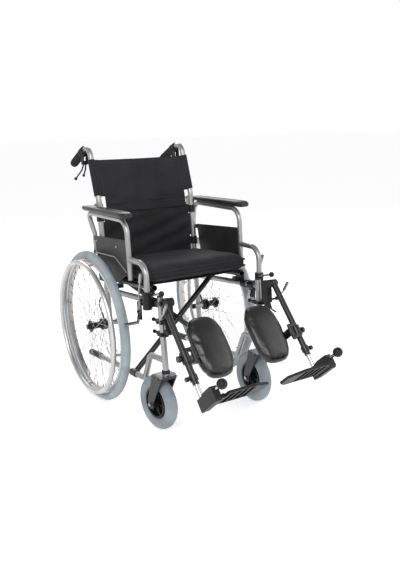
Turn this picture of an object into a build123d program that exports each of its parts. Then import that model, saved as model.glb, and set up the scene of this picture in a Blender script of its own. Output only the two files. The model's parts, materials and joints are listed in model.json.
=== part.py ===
from build123d import *
import math
import os

os.makedirs("parts", exist_ok=True)

# A folding wheelchair with elevating leg rests. Millimetres, +Z up, the floor at z = 0.
# The front is towards -Y, and +X is the sitter's left. Places along Y are counted from the
# rear axle, and at() moves them so that the whole chair is centred over its origin.

# --- driving dimensions ------------------------------------------------------------------

# rear wheels
wheel_radius = 302.0
tyre_radius = 17.5            # the tyre's section
wheel_gap = 71.5              # wheel plane to frame plane
rim_outer_radius = 272.0
rim_depth = 20.0
rim_width = 25.0
rim_wall = 1.8
spoke_count = 36
spoke_radius = 1.0
flange_radius = 23.0
flange_spacing = 48.0
hub_radius = 13.0
axle_radius = 6.0
handrim_gap = 38.0            # handrim plane to wheel plane
handrim_radius = 260.3        # centreline
handrim_tube_radius = 9.5
tab_count = 4

# side frames
frame_half_width = 212.0
tube_radius = 11.0
tube_wall = 1.5
pitch = 4.8                   # the whole frame leans back this far, in degrees
lower_rail_height = 146.0     # under the brace
brace_y = -187.0
lower_rail_rear = 222.0
lower_rail_front = -288.0
riser_y = -338.0
riser_height = 262.0
upright_y = -450.0            # at its foot
upright_foot = 238.0
upright_length = 262.0
upper_rail_height = 455.0     # at brace_y
post_height = 742.0
post_y = 27.0                 # at post_ref_height
post_ref_height = 556.0
axle_sleeve_out = 22.0

# cross-brace and seat
seat_rail_half_width = 192.0
seat_rail_height = 496.0      # at brace_y
seat_rail_rear = 150.0        # behind the brace, along the rail
seat_rail_front = 196.0
brace_side_offset = 12.0
folded_brace_angle = 78.0
brace_bolt_radius = 5.0
sleeve_wall = 3.5
brace_sleeve_length = 40.0
sling_thickness = 3.0
cushion_half_width = 214.0
cushion_thickness = 66.0
cushion_front = 214.0         # ahead of the brace, along the rail
cushion_rear = 162.0

# casters
caster_radius = 100.0
caster_tyre_radius = 23.0
caster_trail = 52.0
fork_gap = 6.0                # tyre to blade
blade_thickness = 6.0
crown_height = 208.0
right_caster_turn = 7.0

# back
hinge_setback = 26.0          # hinge axis behind the post's axis
back_fold_angle = 115.0
cane_bend_height = 792.0
cane_lean = 17.8
cane_top_height = 1008.0
handle_drop = 25.0
grip_length = 112.0
grip_radius = 16.0
grip_collar = 14.0            # length of the hand guard at the grip's front
back_top = 952.0
pocket_bottom = 810.0

# leg rests
knee_y = -494.0
knee_height = 495.0
leg_angle = 41.0              # from straight down, towards the front
leg_x = 235.0
leg_tube_radius = 11.0
leg_tube_length = 300.0
extension_radius = 8.0
extension_end = 392.0
swing_forward = 28.0          # swing axis ahead of the upright's axis
lug_heights = (124.0, 168.0)
hanger_half = 10.0
release_up = 190.0
release_forward = 56.0
release_gap = 9.0             # leg tube to the release's pull
plate_inner_x = 40.0
plate_hinge_x = 215.0
plate_along = 379.0
plate_thickness = 9.0
plate_front = 118.0
plate_rear = 19.0
ball_along = 356.0
ball_forward = 145.0
ball_radius = 17.0
calf_hinge_x = 206.0
calf_hinge_forward = 9.0
calf_x = 119.0
calf_half_width = 68.0
calf_along = 180.0
calf_half_length = 112.0
calf_thickness = 42.0

# armrests
arm_x = 246.0
arm_top_height = 748.0
arm_front_y = -276.0
arm_branch_y = -394.0
arm_branch_height = 611.0
arm_pivot_x = 232.0
arm_pivot_y = 54.0
arm_pivot_height = 592.0
arm_stub_height = 536.0
socket_top = 515.0
socket_depth = 22.0
pad_length = 388.0
pad_thickness = 24.0
pad_width = 48.0
panel_x = 240.0
panel_thickness = 4.0

# wheel locks
lock_x = 256.0
lever_pivot = (-352.0, 438.0)
shoe_pivot = (-336.0, 440.0)
shoe_place = (-318.0, 387.0)
shoe_radius = 6.0
lock_plate = 4.0
lock_mount = 5.0

# clearances
seat_gap = 0.3                # between pieces that rest against each other
running = 0.06                # radial, pin in its hole
slide_gap = 0.3               # radial, tube in tube

# --- places worked out from them ---------------------------------------------------------

lean = math.radians(pitch)
leg = math.radians(leg_angle)
wheel_x = frame_half_width + wheel_gap
handrim_x = wheel_x + handrim_gap
leg_down = (-math.sin(leg), -math.cos(leg))       # Y and Z of the leg tube's direction
leg_fore = (-math.cos(leg), math.sin(leg))        # square to it, towards the toes
foot_reach = -(knee_y + ball_along * leg_down[0] + ball_forward * leg_fore[0]) + ball_radius
axle_y = (foot_reach - wheel_radius) / 2
brace_rise = (seat_rail_height - lower_rail_height) / math.cos(lean)
brace_angle = math.atan2(brace_rise, frame_half_width + seat_rail_half_width)
half_brace = frame_half_width / math.cos(brace_angle)
cross_height = frame_half_width * math.tan(brace_angle)
fork_half = caster_tyre_radius + fork_gap
release_x = leg_x + leg_tube_radius + release_gap
shoe_x = lock_x - 8 - seat_gap - lock_plate       # inner face of the lock shoe's plate


def at(x, y, z):
    return Vector(x, y + axle_y, z)


def lower_rail_z(y):
    return lower_rail_height - (y - brace_y) * math.tan(lean)


def upper_rail_z(y):
    return upper_rail_height - (y - brace_y) * math.tan(lean)


def post_point(z, back=0.0):
    # a point of the back post's line, or one behind it
    y = post_y + (z - post_ref_height) * math.tan(lean)
    return y + back * math.cos(lean), z - back * math.sin(lean)


def on_upright(up, forward=0.0, x=frame_half_width):
    y = upright_y + up * math.sin(lean) - forward * math.cos(lean)
    z = upright_foot + up * math.cos(lean) + forward * math.sin(lean)
    return at(x, y, z)


def on_leg(x, along, forward=0.0):
    y = knee_y + along * leg_down[0] + forward * leg_fore[0]
    z = knee_height + along * leg_down[1] + forward * leg_fore[1]
    return at(x, y, z)


def on_brace(x, up, forward=0.0):
    # the braces' own frame, square to the rails
    y = brace_y + up * math.sin(lean) - forward * math.cos(lean)
    z = lower_rail_height + up * math.cos(lean) + forward * math.sin(lean)
    return at(x, y, z)


def side_plane(x):
    # sketches in the axle's Y and Z, seen from the left
    return Plane(origin=at(x, 0, 0), x_dir=(0, 1, 0), z_dir=(1, 0, 0))


def leg_plane(x):
    # sketches in along and forward, extruded inboard
    down = (0, leg_down[0], leg_down[1])
    return Plane(origin=on_leg(x, 0), x_dir=down, z_dir=(-1, 0, 0))


def leg_section(along):
    # across the leg tube: x outboard, y forward
    return Plane(origin=on_leg(0, along), x_dir=(1, 0, 0), z_dir=(0, leg_down[0], leg_down[1]))


def upright_plane(up):
    # across the upright: x inboard to outboard, y towards the back
    origin = on_upright(up)
    return Plane(origin=origin, x_dir=(1, 0, 0), z_dir=(0, math.sin(lean), math.cos(lean)))


def brace_plane(forward=0.0):
    origin = on_brace(0, 0, forward)
    return Plane(origin=origin, x_dir=(1, 0, 0), z_dir=(0, -math.cos(lean), math.sin(lean)))


hinge_y, hinge_z = post_point(post_height, hinge_setback)
bend_y, bend_z = post_point(cane_bend_height)
cane_tan = math.tan(math.radians(cane_lean))
cane_top_y = bend_y + (cane_top_height - cane_bend_height) * cane_tan
handle_out = 60.0             # from the top of the cane's slope to the grip
handle_y = cane_top_y + handle_out
handle_z = cane_top_height - handle_out * math.tan(math.radians(handle_drop))
grip_end_y = handle_y + grip_length * math.cos(math.radians(handle_drop))
grip_end_z = handle_z - grip_length * math.sin(math.radians(handle_drop))
caster_y = upright_y + caster_trail

# --- shapes used again and again ---------------------------------------------------------


def rod(points, radius, bends=None, mode=Mode.ADD):
    # a round bar through the points, with its corners rounded
    if bends is None:
        run = points[-1] - points[0]
        with BuildSketch(Plane(origin=points[0], z_dir=run)) as section:
            Circle(radius)
        extrude(section.sketch, amount=run.length, mode=mode)
        return
    with BuildLine(mode=Mode.PRIVATE) as route:
        FilletPolyline(*points, radius=bends)
    with BuildSketch(Plane(origin=route.line @ 0, z_dir=route.line % 0)) as section:
        Circle(radius)
    sweep(section.sketch, path=route.line, mode=mode)


def ring(start, end, inner, outer):
    # a plain collar between two points
    with BuildSketch(Plane(origin=start, z_dir=end - start)) as section:
        Circle(outer)
        Circle(inner, mode=Mode.SUBTRACT)
    extrude(section.sketch, amount=(end - start).length)


def side_plate(x, thickness, outline, holes=()):
    # a flat plate in the axle's Y and Z, from x outwards
    with BuildSketch(side_plane(x)) as profile:
        with BuildLine():
            Polyline(*outline, close=True)
        make_face()
        for hole_y, hole_z, hole_radius in holes:
            with Locations((hole_y, hole_z)):
                Circle(hole_radius, mode=Mode.SUBTRACT)
    extrude(profile.sketch, amount=thickness)


def turned(outline, x, y, z):
    # a ring turned about an axle along X; the outline holds (radius, offset along X)
    centre = at(x, y, z)
    with BuildSketch(Plane(origin=centre, x_dir=(0, 0, 1), z_dir=(0, 1, 0))) as profile:
        with BuildLine():
            Polyline(*outline, close=True)
        make_face()
    revolve(profile.sketch, axis=Axis(centre, (1, 0, 0)))


def block(low, high):
    centre = (low + high) / 2
    with Locations(centre):
        Box(high.X - low.X, high.Y - low.Y, high.Z - low.Z)


def bar(plane, x_size, y_size, height, centre=(0, 0)):
    # a block standing on a plane
    with BuildSketch(plane) as profile:
        with Locations(centre):
            Rectangle(x_size, y_size)
    extrude(profile.sketch, amount=height)


def ball(centre, radius):
    with Locations(centre):
        Sphere(radius)


left_pieces = {}

# --- side frame --------------------------------------------------------------------------

frame_routes = [
    ([at(frame_half_width, lower_rail_rear, lower_rail_z(lower_rail_rear)),
      at(frame_half_width, lower_rail_front, lower_rail_z(lower_rail_front)),
      at(frame_half_width, riser_y, riser_height),
      on_upright((riser_height + 10 - upright_foot) / math.cos(lean))], [34, 30]),
    ([on_upright(0), on_upright(upright_length)], None),
    ([at(frame_half_width, *post_point(lower_rail_z(0))),
      at(frame_half_width, *post_point(post_height))], None),
    ([at(frame_half_width, upright_y + 20, upper_rail_z(upright_y + 20)),
      at(frame_half_width, *post_point(upper_rail_z(18)))], None),
]

with BuildPart() as side_frame:
    for route_points, route_bends in frame_routes:
        rod(route_points, tube_radius, route_bends)
    sleeve_in = at(frame_half_width - axle_sleeve_out, 0, wheel_radius)
    sleeve_far = at(frame_half_width + axle_sleeve_out, 0, wheel_radius)
    rod([sleeve_in, sleeve_far], tube_radius)
    for route_points, route_bends in frame_routes:
        rod(route_points, tube_radius - tube_wall, route_bends, Mode.SUBTRACT)
    rod([sleeve_in, sleeve_far], axle_radius + running, mode=Mode.SUBTRACT)
left_pieces["side_frame"] = side_frame

# --- fittings on the side frame ----------------------------------------------------------

hinge_low = at(frame_half_width, *post_point(post_height - 30))
hinge_split = at(frame_half_width, *post_point(post_height))
hinge_axis = at(frame_half_width, hinge_y, hinge_z)
socket_low = at(arm_x - 2, arm_branch_y, socket_top - 62)
socket_high = at(arm_x - 2, arm_branch_y, socket_top)
lug_pin_radius = 4.0
lug_thickness = 12.0
saddle_places = (-58.0, -318.0)

with BuildPart() as frame_fittings:
    # caps and the tipping lever's rubber sleeve
    rod([on_upright(upright_length + seat_gap), on_upright(upright_length + 4)], tube_radius)
    rail_end = at(frame_half_width, lower_rail_rear + 4, lower_rail_z(lower_rail_rear + 4))
    rail_grip = at(frame_half_width, lower_rail_rear - 105, lower_rail_z(lower_rail_rear - 105))
    rod([rail_grip, rail_end], tube_radius + 3)
    rail_bottom = at(frame_half_width, lower_rail_rear + 0.5, lower_rail_z(lower_rail_rear + 0.5))
    rod([rail_grip, rail_bottom], tube_radius + seat_gap, mode=Mode.SUBTRACT)
    # the armrest's front socket, clamped to the upper rail
    rod([socket_low, socket_high], 17)
    clamp_y = arm_branch_y
    clamp_rear = at(frame_half_width, clamp_y + 17, upper_rail_z(clamp_y + 17))
    clamp_front = at(frame_half_width, clamp_y - 15, upper_rail_z(clamp_y - 15))
    rod([clamp_rear, clamp_front], tube_radius + 5)
    block(at(frame_half_width + 4, clamp_y - 12, upper_rail_z(clamp_y) - 12),
          at(arm_x - 8, clamp_y + 12, upper_rail_z(clamp_y) + 14))
    rod([at(frame_half_width, 0, upper_rail_z(0)), at(frame_half_width, -440, upper_rail_z(-440))],
        tube_radius + seat_gap, mode=Mode.SUBTRACT)
    mouth = Plane(origin=at(arm_x - 2, arm_branch_y, socket_top - socket_depth))
    with BuildSketch(mouth):
        Circle(tube_radius + 0.5)
    with BuildSketch(mouth.offset(socket_depth + 1)):
        Circle(tube_radius + 4.2)
    loft(mode=Mode.SUBTRACT)
    # seat rail saddles
    for saddle_y in saddle_places:
        saddle_z = seat_rail_height - (saddle_y - brace_y) * math.tan(lean)
        top = saddle_z - tube_radius / math.cos(lean) - 1.2
        block(at(frame_half_width - 34, saddle_y - 11, upper_rail_z(saddle_y) + tube_radius + 1.3),
              at(frame_half_width + 8, saddle_y + 11, top))
    # hinge of the half-folding back, its lower half
    rod([hinge_low, hinge_split - (hinge_split - hinge_low).normalized() * seat_gap], 15)
    side_plate(frame_half_width - 3, 6,
               [post_point(post_height - 28, 8), post_point(post_height - 28, 18),
                post_point(post_height - 7, hinge_setback + 7),
                post_point(post_height + 6, hinge_setback + 6),
                post_point(post_height + 6, hinge_setback - 5), post_point(post_height - 7, 12)])
    rod([hinge_low + Vector(0, -1, -20), hinge_split + Vector(0, 1, 20)], tube_radius + seat_gap,
        mode=Mode.SUBTRACT)
    rod([hinge_axis + Vector(-12, 0, 0), hinge_axis + Vector(12, 0, 0)], 3)
    # lugs that carry the leg rest, with their clamp bolts behind
    for lug in lug_heights:
        bar(upright_plane(lug), 30, 30, lug_thickness)
        bar(upright_plane(lug), 16, swing_forward - 6, lug_thickness, (0, -(swing_forward + 6) / 2))
        bar(upright_plane(lug), 12, 26, lug_thickness, (0, 26))
        rod([on_upright(lug + 6, -38), on_upright(lug + 6, -62)], 3.5)
        rod([on_upright(lug + 6, -58), on_upright(lug + 6, -64)], 7)
    rod([on_upright(lug_heights[0] - 10), on_upright(lug_heights[1] + 30)], tube_radius + seat_gap,
        mode=Mode.SUBTRACT)
    for lug in lug_heights:
        rod([on_upright(lug + 2, swing_forward), on_upright(lug + lug_thickness + 16, swing_forward)],
            lug_pin_radius)
    # armrest pivot bracket on the back post
    pivot_y = arm_pivot_y
    post_at_pivot = post_point(arm_pivot_height)[0]
    rod([at(frame_half_width, *post_point(arm_pivot_height - 16)),
         at(frame_half_width, *post_point(arm_pivot_height + 16))], tube_radius + 4)
    block(at(frame_half_width - 4, post_at_pivot + 8, arm_pivot_height - 12),
          at(frame_half_width + 10, pivot_y + 9, arm_pivot_height + 12))
    rod([at(frame_half_width, *post_point(arm_pivot_height - 40)),
         at(frame_half_width, *post_point(arm_pivot_height + 40))], tube_radius + seat_gap,
        mode=Mode.SUBTRACT)
    rod([at(frame_half_width, pivot_y, arm_pivot_height),
         at(arm_pivot_x + 12, pivot_y, arm_pivot_height)], 4)
    # wheel lock's mounting plate, hung from a clamp on the upper rail
    lock_clamp_y = lever_pivot[0] + 8
    rod([at(frame_half_width, lock_clamp_y - 14, upper_rail_z(lock_clamp_y - 14)),
         at(frame_half_width, lock_clamp_y + 14, upper_rail_z(lock_clamp_y + 14))], tube_radius + 4)
    block(at(frame_half_width + 8, lock_clamp_y - 14, upper_rail_z(lock_clamp_y) - 10),
          at(lock_x - 8, lock_clamp_y + 14, upper_rail_z(lock_clamp_y) + 8))
    side_plate(lock_x - 8, lock_mount,
               [(lock_clamp_y - 14, 470), (lock_clamp_y + 14, 470), (lock_clamp_y + 14, 406),
                (lock_clamp_y - 14, 406)])
    rod([at(frame_half_width, -300, upper_rail_z(-300)), at(frame_half_width, -372, upper_rail_z(-372))],
        tube_radius + seat_gap, mode=Mode.SUBTRACT)
    rod([at(lock_x - 5, *lever_pivot), at(lock_x + 6, *lever_pivot)], 3)
    rod([at(lock_x + 5, *lever_pivot), at(lock_x + 8, *lever_pivot)], 5)
    rod([at(lock_x - 5, *shoe_pivot), at(shoe_x - 1, *shoe_pivot)], 3)
    rod([at(shoe_x - 0.3, *shoe_pivot), at(shoe_x - 3, *shoe_pivot)], 5)
    # caster head
    rod([at(frame_half_width, upright_y, upright_foot - seat_gap - 0.8),
         at(frame_half_width, upright_y, upright_foot - 12)], 14.5)
    # brake plate beside the hub, with the arm that the cable pulls
    rod([at(frame_half_width + axle_sleeve_out + seat_gap, 0, wheel_radius),
         at(frame_half_width + axle_sleeve_out + 5, 0, wheel_radius)], flange_radius)
    side_plate(frame_half_width + axle_sleeve_out + seat_gap, 4,
               [(14, wheel_radius + 8), (8, wheel_radius + 18), (22, wheel_radius + 44),
                (32, wheel_radius + 40)])
    rod([at(frame_half_width + axle_sleeve_out - 1, 0, wheel_radius),
         at(frame_half_width + axle_sleeve_out + 6, 0, wheel_radius)], axle_radius + 0.5, mode=Mode.SUBTRACT)
left_pieces["frame_fittings"] = frame_fittings

# --- rear wheel --------------------------------------------------------------------------

tyre_centre = wheel_radius - tyre_radius
with BuildPart() as rear_tyre:
    wheel_centre = at(wheel_x, 0, wheel_radius)
    with BuildSketch(Plane(origin=wheel_centre, x_dir=(0, 0, 1), z_dir=(0, -1, 0))):
        with Locations((tyre_centre, 0)):
            Circle(tyre_radius)
        with Locations((rim_outer_radius - 20 + seat_gap, 0)):
            Rectangle(40, 60, mode=Mode.SUBTRACT)
    revolve(axis=Axis(wheel_centre, (1, 0, 0)))
left_pieces["rear_tyre"] = rear_tyre

half_rim = rim_width / 2
with BuildPart() as rear_rim:
    turned([(rim_outer_radius, -half_rim), (rim_outer_radius, half_rim),
            (rim_outer_radius - rim_depth * 0.5, half_rim),
            (rim_outer_radius - rim_depth, half_rim * 0.55),
            (rim_outer_radius - rim_depth, -half_rim * 0.55),
            (rim_outer_radius - rim_depth * 0.5, -half_rim)], wheel_x, 0, wheel_radius)
    inner_half = half_rim - rim_wall
    with BuildSketch(Plane(origin=wheel_centre, x_dir=(0, 0, 1), z_dir=(0, -1, 0))):
        with BuildLine():
            Polyline((rim_outer_radius - rim_wall, -inner_half), (rim_outer_radius - rim_wall, inner_half),
                     (rim_outer_radius - rim_depth * 0.5, inner_half),
                     (rim_outer_radius - rim_depth + rim_wall, half_rim * 0.5),
                     (rim_outer_radius - rim_depth + rim_wall, -half_rim * 0.5),
                     (rim_outer_radius - rim_depth * 0.5, -inner_half), close=True)
        make_face()
    revolve(axis=Axis(wheel_centre, (1, 0, 0)), mode=Mode.SUBTRACT)
left_pieces["rear_rim"] = rear_rim

spoke_lean = math.radians(62)     # how far round the rim a crossed spoke runs from its flange hole
spoke_start = flange_radius + spoke_radius + seat_gap
spoke_end = rim_outer_radius - rim_depth - 0.4
with BuildPart() as rear_spokes:
    for spoke in range(spoke_count):
        side = 1 if spoke % 2 else -1
        way = 1 if (spoke // 2) % 2 else -1
        rim_angle = math.radians(360 / spoke_count * spoke)
        hub_angle = rim_angle + way * spoke_lean
        hub_offset = side * (flange_spacing / 2) + way * 1.7
        first = at(wheel_x - 8 + hub_offset, spoke_start * math.cos(hub_angle),
                   wheel_radius + spoke_start * math.sin(hub_angle))
        last = at(wheel_x + side * 2.5, spoke_end * math.cos(rim_angle),
                  wheel_radius + spoke_end * math.sin(rim_angle))
        rod([first, last], spoke_radius)
left_pieces["rear_spokes"] = rear_spokes

hub_middle = wheel_x - 8
hub_inner = hub_middle - flange_spacing / 2
hub_outer = hub_middle + flange_spacing / 2
with BuildPart() as rear_hub:
    turned([(axle_radius + 0.2, hub_inner - 5 - wheel_x), (hub_radius, hub_inner - 5 - wheel_x),
            (hub_radius, hub_inner - 2 - wheel_x), (flange_radius, hub_inner - 2 - wheel_x),
            (flange_radius, hub_inner + 2 - wheel_x), (hub_radius + 3, hub_inner + 2 - wheel_x),
            (hub_radius, hub_inner + 9 - wheel_x), (hub_radius, hub_outer - 9 - wheel_x),
            (hub_radius + 3, hub_outer - 2 - wheel_x), (flange_radius, hub_outer - 2 - wheel_x),
            (flange_radius, hub_outer + 2 - wheel_x), (hub_radius, hub_outer + 2 - wheel_x),
            (hub_radius - 2, hub_outer + 9 - wheel_x), (axle_radius + 0.2, hub_outer + 9 - wheel_x)],
           wheel_x, 0, wheel_radius)
    # the axle with its end cap, and the nut inside the frame
    axle_end = frame_half_width - axle_sleeve_out
    rod([at(axle_end - 14, 0, wheel_radius), at(hub_outer + 12, 0, wheel_radius)], axle_radius)
    rod([at(hub_outer + 9.3, 0, wheel_radius), at(hub_outer + 16, 0, wheel_radius)], 10)
    with BuildSketch(Plane(origin=at(axle_end - 10, 0, wheel_radius), z_dir=(1, 0, 0))):
        RegularPolygon(12, 6)
    extrude(amount=9.4)
left_pieces["rear_hub"] = rear_hub

with BuildPart() as handrim:
    handrim_centre = at(handrim_x, 0, wheel_radius)
    with BuildSketch(Plane(origin=handrim_centre, x_dir=(0, 0, 1), z_dir=(0, -1, 0))):
        with Locations((handrim_radius, 0)):
            Circle(handrim_tube_radius)
            Circle(handrim_tube_radius - 1.5, mode=Mode.SUBTRACT)
    revolve(axis=Axis(handrim_centre, (1, 0, 0)))
    for tab in range(tab_count):
        angle = math.radians(45 + 90 * tab - 35)
        tab_y = handrim_radius * math.cos(angle)
        tab_z = wheel_radius + handrim_radius * math.sin(angle)
        tab_inner = at(wheel_x + half_rim + seat_gap, tab_y, tab_z)
        tab_outer = at(handrim_x - handrim_tube_radius - seat_gap, tab_y, tab_z)
        rod([tab_inner, tab_outer], 5)
left_pieces["handrim"] = handrim

# --- caster ------------------------------------------------------------------------------

with BuildPart() as caster_fork:
    crown_plane = Plane(origin=at(frame_half_width, upright_y, crown_height))
    with BuildSketch(crown_plane):
        SlotOverall(2 * (fork_half + blade_thickness) + 6, 44)
        with Locations((0, 20)):
            Rectangle(2 * (fork_half + blade_thickness), 40)
    extrude(amount=11)
    rod([at(frame_half_width, upright_y, crown_height + 8),
         at(frame_half_width, upright_y, upright_foot - 12 - seat_gap)], 13)
    for side in (-1, 1):
        inner_x = frame_half_width + side * (fork_half + blade_thickness / 2) - blade_thickness / 2
        side_plate(inner_x, blade_thickness,
                   [(upright_y - 20, crown_height + 6), (upright_y + 38, crown_height + 6),
                    (caster_y + 17, caster_radius + 16), (caster_y + 14, caster_radius - 12),
                    (caster_y, caster_radius - 17), (caster_y - 14, caster_radius - 10),
                    (caster_y - 17, caster_radius + 10)],
                   [(caster_y, caster_radius, 4 + 0.3)])
left_pieces["caster_fork"] = caster_fork

caster_core = caster_radius - 2 * caster_tyre_radius + 2
with BuildPart() as caster_tyre:
    caster_centre = at(frame_half_width, caster_y, caster_radius)
    with BuildSketch(Plane(origin=caster_centre, x_dir=(0, 0, 1), z_dir=(0, -1, 0))):
        with Locations((caster_radius - caster_tyre_radius, 0)):
            Circle(caster_tyre_radius)
        with Locations((caster_core - 20, 0)):
            Rectangle(40, 60, mode=Mode.SUBTRACT)
    revolve(axis=Axis(caster_centre, (1, 0, 0)))
left_pieces["caster_tyre"] = caster_tyre

caster_bore = 4 + seat_gap
with BuildPart() as caster_hub:
    turned([(caster_core - seat_gap, -18), (caster_core - seat_gap, 18), (caster_core - 7, 18),
            (caster_core - 7, 3), (16, 3), (16, 24), (caster_bore, 24), (caster_bore, -24), (16, -24),
            (16, -3), (caster_core - 7, -3), (caster_core - 7, -18)], frame_half_width, caster_y,
           caster_radius)
    for rib in range(6):
        angle = math.radians(60 * rib)
        rib_in = at(frame_half_width, caster_y + 15 * math.cos(angle), caster_radius + 15 * math.sin(angle))
        rib_out = at(frame_half_width, caster_y + (caster_core - 6) * math.cos(angle),
                     caster_radius + (caster_core - 6) * math.sin(angle))
        with BuildSketch(Plane(origin=rib_in, x_dir=(1, 0, 0), z_dir=rib_out - rib_in)):
            Rectangle(26, 4)
        extrude(amount=(rib_out - rib_in).length)
    reach = fork_half + blade_thickness
    rod([at(frame_half_width - reach - 7, caster_y, caster_radius),
         at(frame_half_width + reach + 7, caster_y, caster_radius)], 4)
    for side in (-1, 1):
        rod([at(frame_half_width + side * (reach + seat_gap), caster_y, caster_radius),
             at(frame_half_width + side * (reach + 7), caster_y, caster_radius)], 7)
left_pieces["caster_hub"] = caster_hub

# --- leg rest ----------------------------------------------------------------------------

knee_up = (knee_y - upright_y) * math.sin(lean) + (knee_height - upright_foot) * math.cos(lean)
knee_forward = -(knee_y - upright_y) * math.cos(lean) + (knee_height - upright_foot) * math.sin(lean)
with BuildPart() as leg_hanger:
    bushing_up = [lug + lug_thickness + seat_gap for lug in lug_heights]
    for up in bushing_up:
        rod([on_upright(up, swing_forward), on_upright(up + 12, swing_forward)], 9)
        bar(upright_plane(up), 16, 16, 12, (0, -(swing_forward + 12)))
    bar(upright_plane(bushing_up[0]), 2 * hanger_half, 12, knee_up - bushing_up[0] - 40,
        (0, -(swing_forward + 22)))
    # the web stays above the upper lug, so that it passes over it as the leg rest swings away
    web_low = lug_heights[1] + lug_thickness + 1.5
    bar(upright_plane(web_low), 2 * hanger_half + 4, knee_forward - swing_forward - 4,
        knee_up + 10 - web_low, (0, -(knee_forward + swing_forward + 6) / 2))
    rod([on_upright(knee_up, knee_forward, frame_half_width - 12),
         on_upright(knee_up, knee_forward, frame_half_width + 12)], 15)
    for up in bushing_up:
        rod([on_upright(up - 2, swing_forward), on_upright(up + 16, swing_forward)],
            lug_pin_radius + running, mode=Mode.SUBTRACT)
    # knee pin, and the swing-away release in bright wire
    rod([on_upright(knee_up, knee_forward, frame_half_width + 11),
         on_upright(knee_up, knee_forward, leg_x + leg_tube_radius + 3)], 5)
    rod([on_upright(knee_up, knee_forward, leg_x + leg_tube_radius + 1),
         on_upright(knee_up, knee_forward, leg_x + leg_tube_radius + 5)], 8)
    rod([on_upright(release_up, release_forward, frame_half_width + 11),
         on_upright(release_up, release_forward, release_x + 4)], 4)
    rod([on_upright(release_up, release_forward, release_x + 3.7),
         on_upright(release_up, release_forward, release_x + 7)], 6.5)
    rod([on_upright(196, 44, frame_half_width + 12.5), on_upright(152, 58, frame_half_width + 14),
         on_upright(146, 82, frame_half_width + 14)], 3, [12])
left_pieces["leg_hanger"] = leg_hanger

with BuildPart() as leg_tube:
    rod([on_leg(leg_x, 0), on_leg(leg_x, leg_tube_length)], leg_tube_radius)
    rod([on_leg(leg_x - 10, 0), on_leg(leg_x + 10, 0)], 14)
    # clamp and arm for the calf pad's hinge
    rod([on_leg(leg_x, calf_along + 4), on_leg(leg_x, calf_along + 44)], leg_tube_radius + 5)
    for along in (calf_along - 4, calf_along + 40):
        with BuildSketch(leg_section(along)):
            with Locations((calf_hinge_x, calf_hinge_forward)):
                Circle(8)
            with Locations(((calf_hinge_x + leg_x) / 2, calf_hinge_forward)):
                Rectangle(leg_x - calf_hinge_x, 12)
        extrude(amount=12)
    rod([on_leg(leg_x, 30), on_leg(leg_x, leg_tube_length + 2)], extension_radius + slide_gap,
        mode=Mode.SUBTRACT)
    rod([on_leg(leg_x - 12, 0), on_leg(leg_x + 12, 0)], 5 + running, mode=Mode.SUBTRACT)
    # hinge pin of the calf pad
    rod([on_leg(calf_hinge_x, calf_along - 7, calf_hinge_forward),
         on_leg(calf_hinge_x, calf_along + 55, calf_hinge_forward)], 4)
    # end collar and the two clamp knobs
    ring(on_leg(leg_x, leg_tube_length - 34), on_leg(leg_x, leg_tube_length - 14),
         leg_tube_radius + seat_gap, leg_tube_radius + 3.5)
    for along, size in ((calf_along + 24, 11), (leg_tube_length - 24, 8)):
        rod([on_leg(leg_x + leg_tube_radius + 2, along), on_leg(leg_x + leg_tube_radius + 14, along)], 4)
        rod([on_leg(leg_x + leg_tube_radius + 9, along), on_leg(leg_x + leg_tube_radius + 19, along)], size)
left_pieces["leg_tube"] = leg_tube

block_half = 12.0
with BuildPart() as leg_extension:
    rod([on_leg(leg_x, 150), on_leg(leg_x, extension_end)], extension_radius)
    # footplate block on the tube's end, with the plate's fixed knuckles
    with BuildSketch(leg_plane(leg_x + block_half)):
        with BuildLine():
            Polyline((346, 11), (340, 40), (340, 90), (350, 98), (384, 98), (390, 90), (390, -14),
                     (346, -14), close=True)
        make_face()
    extrude(amount=2 * block_half)
    for forward in (10, 88):
        rod([on_leg(plate_hinge_x, plate_along, forward),
             on_leg(plate_hinge_x, plate_along, forward + 9)], 7)
        with BuildSketch(leg_plane(leg_x)):
            with Locations((plate_along, forward + 4.5)):
                Rectangle(12, 9)
        extrude(amount=leg_x - plate_hinge_x)
    rod([on_leg(plate_hinge_x, plate_along, 10), on_leg(plate_hinge_x, plate_along, 97)], 3)
    rod([on_leg(leg_x, ball_along, 90), on_leg(leg_x, ball_along, ball_forward)], 6)
    ball(on_leg(leg_x, ball_along, ball_forward), ball_radius)
left_pieces["leg_extension"] = leg_extension

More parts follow.
